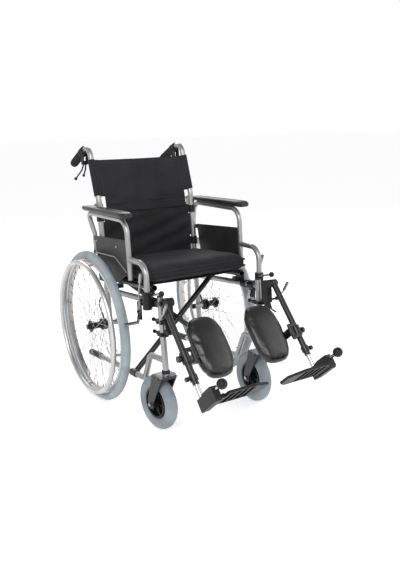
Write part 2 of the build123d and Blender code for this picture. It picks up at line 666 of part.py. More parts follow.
knuckle_low = 10 + 9 + seat_gap
knuckle_high = 88 - seat_gap
with BuildPart() as footplate:
    plate_top = plate_along - plate_thickness / 2
    edge_x = plate_hinge_x - 9
    with BuildSketch(Plane(origin=on_leg(0, plate_top + plate_thickness, 0), x_dir=(1, 0, 0),
                           z_dir=(0, -leg_down[0], -leg_down[1]))):
        # x outboard; y towards the heel, so forward counts backwards
        with BuildLine():
            Polyline((edge_x, -plate_rear), (edge_x, -plate_front), (plate_inner_x + 62, -plate_front),
                     (plate_inner_x, -plate_front + 26), (plate_inner_x, -plate_rear - 22),
                     (plate_inner_x + 26, -plate_rear), close=True)
        make_face()
    extrude(amount=plate_thickness)
    rod([on_leg(plate_hinge_x, plate_along, knuckle_low),
         on_leg(plate_hinge_x, plate_along, knuckle_high)], 6.5)
    with BuildSketch(leg_plane(plate_hinge_x)):
        with Locations((plate_along, (knuckle_low + knuckle_high) / 2)):
            Rectangle(plate_thickness, knuckle_high - knuckle_low)
    extrude(amount=12)
    rod([on_leg(plate_hinge_x, plate_along, 0), on_leg(plate_hinge_x, plate_along, 110)], 3 + running,
        mode=Mode.SUBTRACT)
    # shallow pockets between the ribs underneath
    with BuildSketch(Plane(origin=on_leg(0, plate_along + plate_thickness / 2, 0), x_dir=(1, 0, 0),
                           z_dir=(0, -leg_down[0], -leg_down[1]))):
        for pocket in range(4):
            with Locations((plate_inner_x + 70 + pocket * 26, -(plate_front + plate_rear) / 2)):
                Rectangle(20, plate_front - plate_rear - 12)
    extrude(amount=plate_thickness - 4, mode=Mode.SUBTRACT)
left_pieces["footplate"] = footplate

calf_front = calf_hinge_forward - 4
with BuildPart() as calf_pad:
    pad_plane = Plane(origin=on_leg(calf_x, calf_along, calf_front), x_dir=(1, 0, 0),
                      z_dir=(0, -leg_fore[0], -leg_fore[1]))
    with BuildSketch(pad_plane):
        RectangleRounded(2 * calf_half_width, 2 * calf_half_length, 48)
    extrude(amount=calf_thickness)
    front_edges = [edge for edge in calf_pad.edges()
                   if abs((edge @ 0.5 - pad_plane.origin).dot(pad_plane.z_dir)) < 0.01]
    fillet(front_edges, 14)
    # backing plate and the eye of the hinge
    with BuildSketch(pad_plane.offset(calf_thickness + seat_gap)):
        RectangleRounded(70, 150, 20)
    extrude(amount=3)
    rod([on_leg(calf_hinge_x, calf_along + 8.4, calf_hinge_forward),
         on_leg(calf_hinge_x, calf_along + 39.6, calf_hinge_forward)], 8)
    with BuildSketch(leg_plane(calf_hinge_x)):
        with BuildLine():
            Polyline((calf_along + 9, calf_hinge_forward + 4), (calf_along + 39, calf_hinge_forward + 4),
                     (calf_along + 39, calf_hinge_forward - 8), (calf_along + 9, calf_hinge_forward - 8),
                     close=True)
        make_face()
    extrude(amount=12)
    with BuildSketch(leg_plane(calf_hinge_x - 12 + 5)):
        with Locations((calf_along + 24, calf_front - calf_thickness / 2 - 2)):
            Rectangle(30, calf_thickness + 20)
    extrude(amount=5)
    with BuildSketch(leg_plane(calf_hinge_x - 7)):
        with Locations((calf_along + 24, calf_front - calf_thickness - 6)):
            Rectangle(30, 5)
    extrude(amount=60)
    rod([on_leg(calf_hinge_x, calf_along - 10, calf_hinge_forward),
         on_leg(calf_hinge_x, calf_along + 60, calf_hinge_forward)], 4 + running, mode=Mode.SUBTRACT)
left_pieces["calf_pad"] = calf_pad

with BuildPart() as leg_release:
    release_at = on_upright(release_up, release_forward, release_x)
    across = Vector(1, 0, 0)
    ring(release_at - across * 3.4, release_at + across * 3.4, 4 + running, 8)
    rod([release_at + Vector(0, -5.5, 4.5), release_at + Vector(0, -36, 34), release_at + Vector(0, -50, 56)],
        2.6, [30])
    rod([release_at + Vector(0, -41, 41.5), release_at + Vector(0, -60, 72)], 5.5)
left_pieces["leg_release"] = leg_release

# --- armrest -----------------------------------------------------------------------------

with BuildPart() as armrest_tube:
    rod([at(arm_pivot_x, arm_pivot_y, arm_pivot_height - 8), at(arm_pivot_x, 60, 662),
         at(arm_x + 4, 76, arm_top_height), at(arm_x, arm_front_y + 14, arm_top_height),
         at(arm_x, arm_front_y, arm_stub_height)], 9.5, [30, 30, 52])
    rod([at(arm_x, arm_front_y + 5, arm_branch_height), at(arm_x - 2, arm_branch_y, arm_branch_height + 1),
         at(arm_x - 2, arm_branch_y, socket_top - socket_depth + 4)], tube_radius - 0.5, [50])
    rod([at(arm_pivot_x - 8, arm_pivot_y, arm_pivot_height),
         at(arm_pivot_x + 8, arm_pivot_y, arm_pivot_height)], 12)
    rod([at(arm_pivot_x - 20, arm_pivot_y, arm_pivot_height),
         at(arm_pivot_x + 20, arm_pivot_y, arm_pivot_height)], 4 + running, mode=Mode.SUBTRACT)
left_pieces["armrest_tube"] = armrest_tube

with BuildPart() as arm_pad:
    pad_bottom = arm_top_height + 9.5 + seat_gap
    pad_plane = Plane(origin=at(arm_x + 8, (arm_front_y - 24) + pad_length / 2, pad_bottom))
    with BuildSketch(pad_plane):
        RectangleRounded(pad_width, pad_length, 22)
    extrude(amount=pad_thickness)
    fillet(arm_pad.faces().sort_by(Axis.Z)[-1].edges(), 9)
left_pieces["arm_pad"] = arm_pad


def arm_post_y(z):
    return arm_front_y + (z - arm_stub_height) * 14 / (arm_top_height - arm_stub_height)


with BuildPart() as side_panel:
    edge = 9.5 + 1.0
    side_plate(panel_x - panel_thickness / 2, panel_thickness,
               [(38, 658), (arm_post_y(676) + edge, 676), (arm_post_y(560) + edge, 560), (-108, 486),
                (20, 480), (20, 560), (38, 640)])
    # folded bead across the sheet, with its screws
    bead = [(36, 592), (-142, 600), (-240, 556)]
    for first, last in zip(bead, bead[1:]):
        rod([at(panel_x + 3, *first), at(panel_x + 3, *last)], 2)
    # clips round the front post
    for clip_z in (580, 660):
        clip_y = arm_post_y(clip_z)
        block(at(panel_x - 7, clip_y + 10.2, clip_z - 8), at(panel_x + 7, clip_y + 20, clip_z + 8))
    # strap to the rear post
    block(at(panel_x - 7, 38, 640), at(panel_x + 2, 47.5, 656))
left_pieces["side_panel"] = side_panel

with BuildPart() as arm_latch:
    rod([at(arm_x - 13, arm_branch_y - 16, socket_top - 9),
         at(arm_x - 11, arm_branch_y - 82, socket_top + 9)], 4)
    ball(at(arm_x - 11, arm_branch_y - 88, socket_top + 10), 10)
left_pieces["arm_latch"] = arm_latch

# --- wheel lock --------------------------------------------------------------------------

with BuildPart() as lock_lever:
    lever_y, lever_z = lever_pivot
    side_plate(lock_x - 2.5, lock_plate,
               [(lever_y + 9, lever_z - 8), (lever_y + 10, lever_z + 8), (lever_y - 2, lever_z + 34),
                (lever_y - 12, lever_z + 32), (lever_y - 9, lever_z - 4)],
               [(lever_y, lever_z, 3 + running)])
    rod([at(lock_x + 1, lever_y - 6, lever_z + 26), at(lock_x + 6, lever_y - 14, lever_z + 66),
         at(lock_x + 8, lever_y - 36, lever_z + 132)], 3.2, [40])
    rod([at(lock_x + 7.2, lever_y - 29, lever_z + 112), at(lock_x + 8.2, lever_y - 40, lever_z + 144)], 6)
left_pieces["lock_lever"] = lock_lever

with BuildPart() as lock_shoe:
    side_plate(shoe_x, lock_plate,
               [(shoe_pivot[0] - 7, shoe_pivot[1] + 5), (shoe_pivot[0] - 2, shoe_pivot[1] + 8),
                (shoe_pivot[0] + 7, shoe_pivot[1] + 5), (shoe_place[0] + 7, shoe_place[1] + 3),
                (shoe_place[0] + 4, shoe_place[1] - 7), (shoe_place[0] - 6, shoe_place[1] - 4)],
               [(shoe_pivot[0], shoe_pivot[1], 3 + running)])
    rod([at(shoe_x + 1, *shoe_place), at(wheel_x + 20, *shoe_place)], shoe_radius)
left_pieces["lock_shoe"] = lock_shoe

# --- brake cable -------------------------------------------------------------------------

cable_radius = 2.5
cable_route = [
    (197, 148, 934), (197, 131, 908), (197, 107, 866), (196, 84, 812), (195, 64, 758),
    (196, 53, 704), (196, 50, 650), (195, 44, 598), (196, 41, 540), (199, 36, 486),
    (206, 37, 442), (220, 48, 410), (234, 58, 384), (236.5, 50, 360), (236.3, 33, 346),
]
cable_points = [at(*point) for point in cable_route]
cable_start = (cable_points[1] - cable_points[0]).normalized()


def cable_bends(points):
    # each corner's radius: 0.45 of its shorter run over the tangent of half its turn
    radii = []
    for before, corner, after in zip(points, points[1:], points[2:]):
        turn = math.radians((corner - before).get_angle(after - corner))
        run = min((corner - before).length, (after - corner).length)
        radii.append(0.45 * run / math.tan(turn / 2))
    return radii


print("cable bend radii", [round(radius, 1) for radius in cable_bends(cable_points)])
with BuildPart() as brake_cable:
    rod(cable_points, cable_radius, cable_bends(cable_points))
left_pieces["brake_cable"] = brake_cable

# --- back cane, handle and brake levers --------------------------------------------------

cane_route = [at(frame_half_width, *post_point(post_height + 4)),
              at(frame_half_width, bend_y, bend_z),
              at(frame_half_width, cane_top_y, cane_top_height),
              at(frame_half_width, grip_end_y, grip_end_z)]
with BuildPart() as back_cane:
    rod(cane_route, tube_radius, [60, 40])
    rod([at(frame_half_width, *post_point(post_height + seat_gap)),
         at(frame_half_width, *post_point(cane_bend_height - 12))], 15)
    for lug_x in (-9.5, 4.0):
        side_plate(frame_half_width + lug_x, 5.5,
                   [post_point(post_height + 30, 8), post_point(post_height + 30, 18),
                    post_point(post_height + 7, hinge_setback + 7),
                    post_point(post_height - 6, hinge_setback + 6),
                    post_point(post_height - 6, hinge_setback - 5), post_point(post_height + 4, 12)])
    rod(cane_route, tube_radius - tube_wall, [60, 40], Mode.SUBTRACT)
    rod([hinge_axis + Vector(-14, 0, 0), hinge_axis + Vector(14, 0, 0)], 3 + running, mode=Mode.SUBTRACT)
    # locking knob behind the hinge
    knob_y, knob_z = post_point(cane_bend_height - 18, 15)
    rod([at(frame_half_width, knob_y - 1, knob_z), at(frame_half_width, knob_y + 10, knob_z - 1)], 4)
    rod([at(frame_half_width, knob_y + 8, knob_z - 1), at(frame_half_width, knob_y + 20, knob_z - 2)], 10)
left_pieces["back_cane"] = back_cane

drop = math.radians(handle_drop)


def on_handle(along, below=0.0, x=frame_half_width):
    # along the grip's axis, counted from where it starts
    y = handle_y + along * math.cos(drop) - below * math.sin(drop)
    z = handle_z - along * math.sin(drop) - below * math.cos(drop)
    return at(x, y, z)


def handle_plane(x):
    # sketches along the handle and square to it, extruded outboard
    return Plane(origin=on_handle(0, 0, x), x_dir=on_handle(1) - on_handle(0), z_dir=(1, 0, 0))


lever_eye = (8, 44)
with BuildPart() as push_handle:
    rod([on_handle(0), on_handle(grip_length + 6)], grip_radius)
    rod([on_handle(0), on_handle(grip_collar)], grip_radius + 2.5)
    rod([on_handle(-1), on_handle(grip_length + 1)], tube_radius + seat_gap, mode=Mode.SUBTRACT)
    # brake bracket: a collar ahead of the grip with two cheeks below it
    rod([on_handle(-19), on_handle(-2)], tube_radius + 6)
    for cheek_x in (-12, 8):
        with BuildSketch(handle_plane(frame_half_width + cheek_x)):
            with BuildLine():
                Polyline((-19, -9), (-2, -9), (14, -28), (18, -48), (2, -54), (-12, -34), close=True)
            make_face()
        extrude(amount=4)
    rod([on_handle(-20), on_handle(-1)], tube_radius + seat_gap, mode=Mode.SUBTRACT)
    rod([on_handle(*lever_eye, frame_half_width - 12), on_handle(*lever_eye, frame_half_width + 12)], 3)
    # the barrel that the cable comes out of
    rod([cable_points[0] - cable_start * 14, cable_points[0]], 4)
left_pieces["push_handle"] = push_handle

with BuildPart() as brake_lever:
    rod([on_handle(*lever_eye, frame_half_width + 0.6), on_handle(*lever_eye, frame_half_width + 7.4)], 8)
    rod([on_handle(13, 46, frame_half_width + 4), on_handle(44, 60, frame_half_width + 4),
         on_handle(127, 64, frame_half_width + 4)], 3.2, [40])
    ball(on_handle(127, 64, frame_half_width + 4), 7)
    rod([on_handle(*lever_eye, frame_half_width - 1), on_handle(*lever_eye, frame_half_width + 9)],
        3 + running, mode=Mode.SUBTRACT)
left_pieces["brake_lever"] = brake_lever

with BuildPart() as park_lever:
    rod([on_handle(*lever_eye, frame_half_width - 7.4), on_handle(*lever_eye, frame_half_width - 0.6)], 8)
    rod([on_handle(12, 48, frame_half_width - 4), on_handle(28, 66, frame_half_width - 4),
         on_handle(64, 76, frame_half_width - 6.5)], 3.2, [20])
    ball(on_handle(64, 76, frame_half_width - 6.5), 6)
    rod([on_handle(*lever_eye, frame_half_width - 9), on_handle(*lever_eye, frame_half_width + 1)],
        3 + running, mode=Mode.SUBTRACT)
left_pieces["park_lever"] = park_lever

# --- cross-brace -------------------------------------------------------------------------


def seat_rail_ends(x, gap=0.0):
    return on_brace(x, brace_rise, -seat_rail_rear - gap), on_brace(x, brace_rise, seat_rail_front + gap)


def brace(foot_side, offset):
    # a tube from a sleeve on one lower rail up to the seat rail on the other side
    foot_x = foot_side * frame_half_width
    rail_x = -foot_side * seat_rail_half_width
    half_sleeve = brace_sleeve_length / 2
    reach = tube_radius + running
    rod([on_brace(foot_x, 0, offset - half_sleeve), on_brace(foot_x, 0, offset + half_sleeve)],
        reach + sleeve_wall)
    along = math.atan2(brace_rise, rail_x - foot_x)
    step = reach + 1
    rod([on_brace(foot_x + step * math.cos(along), step * math.sin(along), offset),
         on_brace(rail_x, brace_rise, offset)], tube_radius)
    rod(seat_rail_ends(rail_x), tube_radius)
    rod([on_brace(foot_x, 0, offset - 60), on_brace(foot_x, 0, offset + 60)], reach, mode=Mode.SUBTRACT)
    rod(seat_rail_ends(rail_x, 1), tube_radius - tube_wall, mode=Mode.SUBTRACT)
    rod([on_brace(0, cross_height, -60), on_brace(0, cross_height, 60)], brace_bolt_radius + running,
        mode=Mode.SUBTRACT)


with BuildPart() as brace_a:
    brace(-1, brace_side_offset)
    # the bolt that both braces turn on, with its head and nut
    bolt_half = brace_side_offset + tube_radius + 3
    rod([on_brace(0, cross_height, -bolt_half), on_brace(0, cross_height, bolt_half)], brace_bolt_radius)
    for end in (-1, 1):
        rod([on_brace(0, cross_height, end * (bolt_half - 1.5)),
             on_brace(0, cross_height, end * (bolt_half + 5))], 9)

with BuildPart() as brace_b:
    brace(1, -brace_side_offset)

# --- seat and back upholstery ------------------------------------------------------------

sling_low = brace_rise + tube_radius + seat_gap
with BuildPart() as seat_sling:
    with BuildSketch(brace_plane(-seat_rail_rear + 4)):
        with Locations((0, sling_low + sling_thickness / 2)):
            Rectangle(2 * seat_rail_half_width + 22, sling_thickness)
    extrude(amount=seat_rail_rear + seat_rail_front - 8)

cushion_low = sling_low + sling_thickness + seat_gap
with BuildPart() as seat_cushion:
    with BuildSketch(brace_plane(-cushion_rear)):
        with Locations((0, cushion_low + cushion_thickness / 2)):
            RectangleRounded(2 * cushion_half_width, cushion_thickness, 18)
    extrude(amount=cushion_rear + cushion_front)

lower_half = frame_half_width - tube_radius - 6
with BuildPart() as back_lower:
    # narrower where the armrest's bracket and the back's hinge go round the posts
    for low, high, half in ((562, 614, lower_half), (614, 708, frame_half_width - tube_radius - 0.6),
                            (708, post_height + 8.4, lower_half)):
        with BuildSketch(side_plane(-half)):
            with BuildLine():
                Polyline(post_point(low, -4), post_point(high, -4), post_point(high, 2), post_point(low, 2),
                         close=True)
            make_face()
        extrude(amount=2 * half)


def on_cane(z, back=0.0):
    # a point of the cane's slope, or one behind it
    slope = math.radians(cane_lean)
    y = bend_y + (z - bend_z) * cane_tan
    return y + back * math.cos(slope), z - back * math.sin(slope)


pocket_radius = tube_radius + 3.5
with BuildPart() as back_upper:
    with BuildSketch(side_plane(-lower_half + 12)):
        with BuildLine():
            Polyline(post_point(post_height + 9, -4), on_cane(bend_z + 6, -4), on_cane(pocket_bottom, -4),
                     on_cane(pocket_bottom, 2), on_cane(bend_z + 6, 2), post_point(post_height + 9, 2),
                     close=True)
        make_face()
    extrude(amount=2 * lower_half - 24)
    with BuildSketch(side_plane(-frame_half_width)):
        with BuildLine():
            Polyline(on_cane(pocket_bottom, -4), on_cane(back_top, -4), on_cane(back_top, 2),
                     on_cane(pocket_bottom, 2), close=True)
        make_face()
    extrude(amount=2 * frame_half_width)
    for side in (-1, 1):
        low = at(side * frame_half_width, *on_cane(pocket_bottom))
        high = at(side * frame_half_width, *on_cane(back_top))
        rod([low, high], pocket_radius)
    for side in (-1, 1):
        low = at(side * frame_half_width, *on_cane(pocket_bottom - 20))
        high = at(side * frame_half_width, *on_cane(back_top + 20))
        rod([low, high], tube_radius + seat_gap, mode=Mode.SUBTRACT)

# --- both sides and the middle, written out ----------------------------------------------


def save(piece, name):
    piece.part.label = name
    export_step(piece.part, "parts/" + name + ".step")
    print(name, len(piece.part.solids()), round(piece.part.volume))


for piece_name, left_piece in left_pieces.items():
    save(left_piece, "left_" + piece_name)
    right_copy = mirror(left_piece.part, about=Plane.YZ, mode=Mode.PRIVATE)
    if piece_name.startswith("caster"):
        swivel = Axis(at(-frame_half_width, upright_y, 0), (0, 0, 1))
        right_copy = right_copy.rotate(swivel, right_caster_turn)
    with BuildPart() as right_piece:
        add(right_copy)
    save(right_piece, "right_" + piece_name)

for piece_name, middle_piece in (("brace_a", brace_a), ("brace_b", brace_b), ("seat_sling", seat_sling),
                                 ("seat_cushion", seat_cushion), ("back_lower", back_lower),
                                 ("back_upper", back_upper)):
    save(middle_piece, piece_name)
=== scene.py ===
import bpy
import bmesh
import json
import math
from mathutils import Matrix, Vector, noise


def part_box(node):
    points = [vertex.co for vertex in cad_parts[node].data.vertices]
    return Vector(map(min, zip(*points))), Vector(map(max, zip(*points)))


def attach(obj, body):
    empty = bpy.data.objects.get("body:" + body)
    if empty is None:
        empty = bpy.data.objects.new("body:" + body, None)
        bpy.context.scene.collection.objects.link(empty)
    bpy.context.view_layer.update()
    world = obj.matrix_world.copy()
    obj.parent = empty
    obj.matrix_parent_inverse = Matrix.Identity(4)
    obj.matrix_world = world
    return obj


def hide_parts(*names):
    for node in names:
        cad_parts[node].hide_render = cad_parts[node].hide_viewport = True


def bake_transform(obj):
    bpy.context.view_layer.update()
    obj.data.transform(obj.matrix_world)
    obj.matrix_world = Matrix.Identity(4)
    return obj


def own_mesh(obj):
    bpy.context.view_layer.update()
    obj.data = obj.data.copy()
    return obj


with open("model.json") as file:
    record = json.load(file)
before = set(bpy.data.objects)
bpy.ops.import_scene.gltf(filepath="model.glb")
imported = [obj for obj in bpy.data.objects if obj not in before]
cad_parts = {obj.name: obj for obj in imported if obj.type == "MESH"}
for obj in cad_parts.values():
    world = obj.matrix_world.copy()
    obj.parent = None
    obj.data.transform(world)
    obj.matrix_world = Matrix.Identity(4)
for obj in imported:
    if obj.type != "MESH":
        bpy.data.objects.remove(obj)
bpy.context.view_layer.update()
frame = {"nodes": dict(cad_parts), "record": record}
nodes = frame["nodes"]
sides = ("left", "right")

# the chair's own reference lines, in metres; y is counted from the rear axle
chair = {
    "pitch": math.radians(4.8),       # how far the side frames lean back
    "postY": 0.027, "postZ": 0.556,   # a point of the back posts
    "caneLean": math.radians(17.8),
    "caneStart": 0.792,               # height where the canes bend back
    "tube": 0.011,
    "halfWidth": 0.212,
}
tyreLow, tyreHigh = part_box("left_rear_tyre")
axleY = (tyreLow.y + tyreHigh.y) / 2
axleZ = (tyreLow.z + tyreHigh.z) / 2
wheelX = (tyreLow.x + tyreHigh.x) / 2


def at(x, y, z):
    return Vector((x, y + axleY, z))


def postPoint(x, z, back=0.0):
    lean = chair["pitch"]
    y = chair["postY"] + (z - chair["postZ"]) * math.tan(lean)
    return at(x, y + back * math.cos(lean), z - back * math.sin(lean))


def canePoint(x, z, back=0.0):
    lean = chair["caneLean"]
    foot = postPoint(x, chair["caneStart"])
    y = foot.y + (z - foot.z) * math.tan(lean) + back * math.cos(lean)
    return Vector((x, y, z - back * math.sin(lean)))


# camera, floor and light
view = {"place": (-1.2349, -2.3246, 1.065), "yaw": 32.05, "pitch": 13.76, "roll": -1.41, "lens": 40.64}


def addCamera():
    yaw, tip, roll = (math.radians(view[key]) for key in ("yaw", "pitch", "roll"))
    ahead = Vector((math.sin(yaw) * math.cos(tip), math.cos(yaw) * math.cos(tip), -math.sin(tip)))
    right = Vector((math.cos(yaw), -math.sin(yaw), 0))
    up = right.cross(ahead)
    rolledRight = math.cos(roll) * right + math.sin(roll) * up
    rolledUp = -math.sin(roll) * right + math.cos(roll) * up
    data = bpy.data.cameras.new("camera")
    data.lens = view["lens"]
    data.sensor_width = 36
    camera = bpy.data.objects.new("camera", data)
    turn = Matrix((rolledRight, rolledUp, -ahead)).transposed().to_4x4()
    camera.matrix_world = Matrix.Translation(at(*view["place"])) @ turn
    bpy.context.scene.collection.objects.link(camera)
    bpy.context.scene.camera = camera


def addLight(name, place, target, size, power, colour=(1, 1, 1)):
    data = bpy.data.lights.new(name, "AREA")
    data.shape = "DISK"
    data.size = size
    data.energy = power
    data.color = colour
    lamp = bpy.data.objects.new(name, data)
    lamp.location = place
    lamp.rotation_euler = (Vector(target) - Vector(place)).to_track_quat("-Z", "Y").to_euler()
    bpy.context.scene.collection.objects.link(lamp)


def newMaterial(name, colour, metallic=0.0, roughness=0.5, **sockets):
    made = bpy.data.materials.new(name)
    made.use_nodes = True
    shader = made.node_tree.nodes["Principled BSDF"]
    shader.inputs["Base Color"].default_value = (*colour, 1)
    shader.inputs["Metallic"].default_value = metallic
    shader.inputs["Roughness"].default_value = roughness
    for key, value in sockets.items():
        shader.inputs[key.replace("_", " ")].default_value = value
    return made


def objectPoint(tree):
    return tree.nodes.new("ShaderNodeTexCoord").outputs["Object"]


def noiseNode(tree, scale, detail=3.0, stretch=None):
    made = tree.nodes.new("ShaderNodeTexNoise")
    made.inputs["Scale"].default_value = scale
    made.inputs["Detail"].default_value = detail
    point = objectPoint(tree)
    if stretch:
        scaled = tree.nodes.new("ShaderNodeVectorMath")
        scaled.operation = "MULTIPLY"
        scaled.inputs[1].default_value = stretch
        tree.links.new(point, scaled.inputs[0])
        point = scaled.outputs[0]
    tree.links.new(point, made.inputs["Vector"])
    return made.outputs["Fac"]


def shade(colour, factor):
    return tuple(part * factor for part in colour)


def varyColour(made, value, first, second, low=0.35, high=0.65):
    tree = made.node_tree
    ramp = tree.nodes.new("ShaderNodeValToRGB")
    ramp.color_ramp.elements[0].position = low
    ramp.color_ramp.elements[1].position = high
    ramp.color_ramp.elements[0].color = (*first, 1)
    ramp.color_ramp.elements[1].color = (*second, 1)
    tree.links.new(value, ramp.inputs["Fac"])
    tree.links.new(ramp.outputs["Color"], tree.nodes["Principled BSDF"].inputs["Base Color"])


def varyRoughness(made, value, low, high):
    tree = made.node_tree
    span = tree.nodes.new("ShaderNodeMapRange")
    span.inputs["To Min"].default_value = low
    span.inputs["To Max"].default_value = high
    tree.links.new(value, span.inputs["Value"])
    tree.links.new(span.outputs["Result"], tree.nodes["Principled BSDF"].inputs["Roughness"])


def addBump(made, value, strength, distance):
    tree = made.node_tree
    bump = tree.nodes.new("ShaderNodeBump")
    bump.inputs["Strength"].default_value = strength
    bump.inputs["Distance"].default_value = distance
    tree.links.new(value, bump.inputs["Height"])
    shader = tree.nodes["Principled BSDF"]
    if shader.inputs["Normal"].is_linked:
        tree.links.new(shader.inputs["Normal"].links[0].from_socket, bump.inputs["Normal"])
    tree.links.new(bump.outputs["Normal"], shader.inputs["Normal"])


def mathNode(tree, operation, *values):
    made = tree.nodes.new("ShaderNodeMath")
    made.operation = operation
    for index, value in enumerate(values):
        if isinstance(value, (int, float)):
            made.inputs[index].default_value = value
        else:
            tree.links.new(value, made.inputs[index])
    return made.outputs[0]


finish = {
    "silver": (0.38, 0.375, 0.37), "tyre": (0.30, 0.34, 0.365), "caster": (0.225, 0.255, 0.28),
    "nylon": (0.0085, 0.0085, 0.010), "vinyl": (0.006, 0.006, 0.0065), "plastic": (0.006, 0.006, 0.0065),
}


def paintedTube(name, colour, metallic, roughness):
    made = newMaterial(name, colour, metallic, roughness, Coat_Weight=0.12, Coat_Roughness=0.2)
    tree = made.node_tree
    darker = shade(colour, 0.82)
    varyColour(made, noiseNode(tree, 9, 4), darker, colour)
    varyRoughness(made, noiseNode(tree, 60, 5), roughness * 0.8, roughness * 1.3)
    addBump(made, noiseNode(tree, 900, 2), 0.12, 0.0003)
    return made


def plainMetal(name, colour, roughness, stretch=None):
    made = newMaterial(name, colour, 1.0, roughness)
    tree = made.node_tree
    varyRoughness(made, noiseNode(tree, 40, 5, stretch), roughness * 0.6, roughness * 1.6)
    varyColour(made, noiseNode(tree, 14, 3), shade(colour, 0.85), colour)
    addBump(made, noiseNode(tree, 500, 2, stretch), 0.06, 0.0002)
    return made


def mouldedPlastic(name, colour, roughness=0.42, grain=900):
    made = newMaterial(name, colour, 0.0, roughness, Specular_IOR_Level=0.3)
    tree = made.node_tree
    varyRoughness(made, noiseNode(tree, 30, 4), roughness * 0.85, roughness * 1.25)
    varyColour(made, noiseNode(tree, 12, 3), shade(colour, 0.8), shade(colour, 1.25))
    addBump(made, noiseNode(tree, grain, 2), 0.25, 0.0003)
    return made


def rubber(name, colour, roughness=0.62):
    made = newMaterial(name, colour, 0.0, roughness, Specular_IOR_Level=0.25)
    tree = made.node_tree
    varyColour(made, noiseNode(tree, 16, 5), shade(colour, 0.84), shade(colour, 1.1))
    varyRoughness(made, noiseNode(tree, 45, 4), roughness * 0.85, min(1.0, roughness * 1.2))
    addBump(made, noiseNode(tree, 1200, 2), 0.15, 0.0002)
    return made


def treadRubber(name, colour, blocks=150, grooves=9):
    # fine tread blocks round the tyre, worked out from each point's angle about the axle
    made = rubber(name, colour, 0.66)
    tree = made.node_tree
    split = tree.nodes.new("ShaderNodeSeparateXYZ")
    tree.links.new(objectPoint(tree), split.inputs[0])
    across = mathNode(tree, "SUBTRACT", split.outputs["Y"], axleY)
    height = mathNode(tree, "SUBTRACT", split.outputs["Z"], axleZ)
    angle = mathNode(tree, "ARCTAN2", height, across)
    offset = mathNode(tree, "SUBTRACT", mathNode(tree, "ABSOLUTE", split.outputs["X"]), wheelX)
    slant = mathNode(tree, "MULTIPLY", mathNode(tree, "ABSOLUTE", offset), 260.0)
    lug = mathNode(tree, "SINE", mathNode(tree, "ADD", mathNode(tree, "MULTIPLY", angle, blocks), slant))
    band = mathNode(tree, "SINE", mathNode(tree, "MULTIPLY", offset, grooves * 110.0))
    radius = mathNode(tree, "SQRT", mathNode(tree, "ADD", mathNode(tree, "MULTIPLY", across, across),
                                             mathNode(tree, "MULTIPLY", height, height)))
    crown = mathNode(tree, "GREATER_THAN", radius, axleZ - 0.0095)
    pattern = mathNode(tree, "MULTIPLY", mathNode(tree, "MULTIPLY", lug, band), crown)
    addBump(made, pattern, 0.7, 0.0009)
    return made


def wovenNylon(name, colour, threads=1500.0):
    # two crossing sets of threads, with a soft sheen
    made = newMaterial(name, colour, 0.0, 0.62, Specular_IOR_Level=0.22, Sheen_Weight=0.03)
    tree = made.node_tree
    split = tree.nodes.new("ShaderNodeSeparateXYZ")
    tree.links.new(objectPoint(tree), split.inputs[0])
    along = mathNode(tree, "ADD", split.outputs["Y"], split.outputs["Z"])
    weft = mathNode(tree, "SINE", mathNode(tree, "MULTIPLY", split.outputs["X"], threads))
    warp = mathNode(tree, "SINE", mathNode(tree, "MULTIPLY", along, threads))
    weave = mathNode(tree, "MULTIPLY", weft, warp)
    addBump(made, weave, 0.35, 0.0004)
    addBump(made, noiseNode(tree, 22, 5), 0.25, 0.004)
    varyColour(made, noiseNode(tree, 7, 5), shade(colour, 0.75), shade(colour, 1.7))
    varyRoughness(made, noiseNode(tree, 18, 4), 0.5, 0.74)
    return made


def paddedVinyl(name, colour):
    made = newMaterial(name, colour, 0.0, 0.3, Specular_IOR_Level=0.6)
    tree = made.node_tree
    grain = tree.nodes.new("ShaderNodeTexVoronoi")
    grain.inputs["Scale"].default_value = 650
    tree.links.new(objectPoint(tree), grain.inputs["Vector"])
    addBump(made, grain.outputs["Distance"], 0.3, 0.0004)
    addBump(made, noiseNode(tree, 25, 4), 0.15, 0.003)
    varyRoughness(made, noiseNode(tree, 20, 4), 0.24, 0.36)
    varyColour(made, noiseNode(tree, 10, 3), shade(colour, 0.8), shade(colour, 1.5))
    return made


materials = {
    "silver": paintedTube("silverPaint", finish["silver"], 0.85, 0.36),
    "blackPaint": paintedTube("blackPaint", (0.012, 0.012, 0.013), 0.2, 0.3),
    "chrome": plainMetal("chrome", (0.6, 0.6, 0.61), 0.14),
    "steel": plainMetal("brightSteel", (0.36, 0.36, 0.37), 0.3),
    "rim": plainMetal("anodisedRim", (0.6, 0.59, 0.575), 0.34),
    "tyre": treadRubber("tyreRubber", finish["tyre"]),
    "caster": rubber("casterRubber", finish["caster"], 0.5),
    "plastic": mouldedPlastic("blackPlastic", finish["plastic"]),
    "panel": mouldedPlastic("panelSheet", (0.02, 0.02, 0.021), 0.45, 500),
    "padSkin": mouldedPlastic("armPadSkin", (0.022, 0.02, 0.019), 0.34, 700),
    # light grey line on each side panel: a painted highlight along the panel's step edge
    "edgeHighlight": plainMetal("panelEdgeHighlight", (0.55, 0.55, 0.55), 0.4),
    "grip": rubber("gripRubber", (0.012, 0.012, 0.013), 0.6),
    "nylon": wovenNylon("charcoalNylon", finish["nylon"]),
    "vinyl": paddedVinyl("blackVinyl", finish["vinyl"]),
    "thread": rubber("stitchThread", (0.05, 0.05, 0.055), 0.7),
    "cable": mouldedPlastic("cableSheath", (0.012, 0.012, 0.012), 0.35, 1500),
}

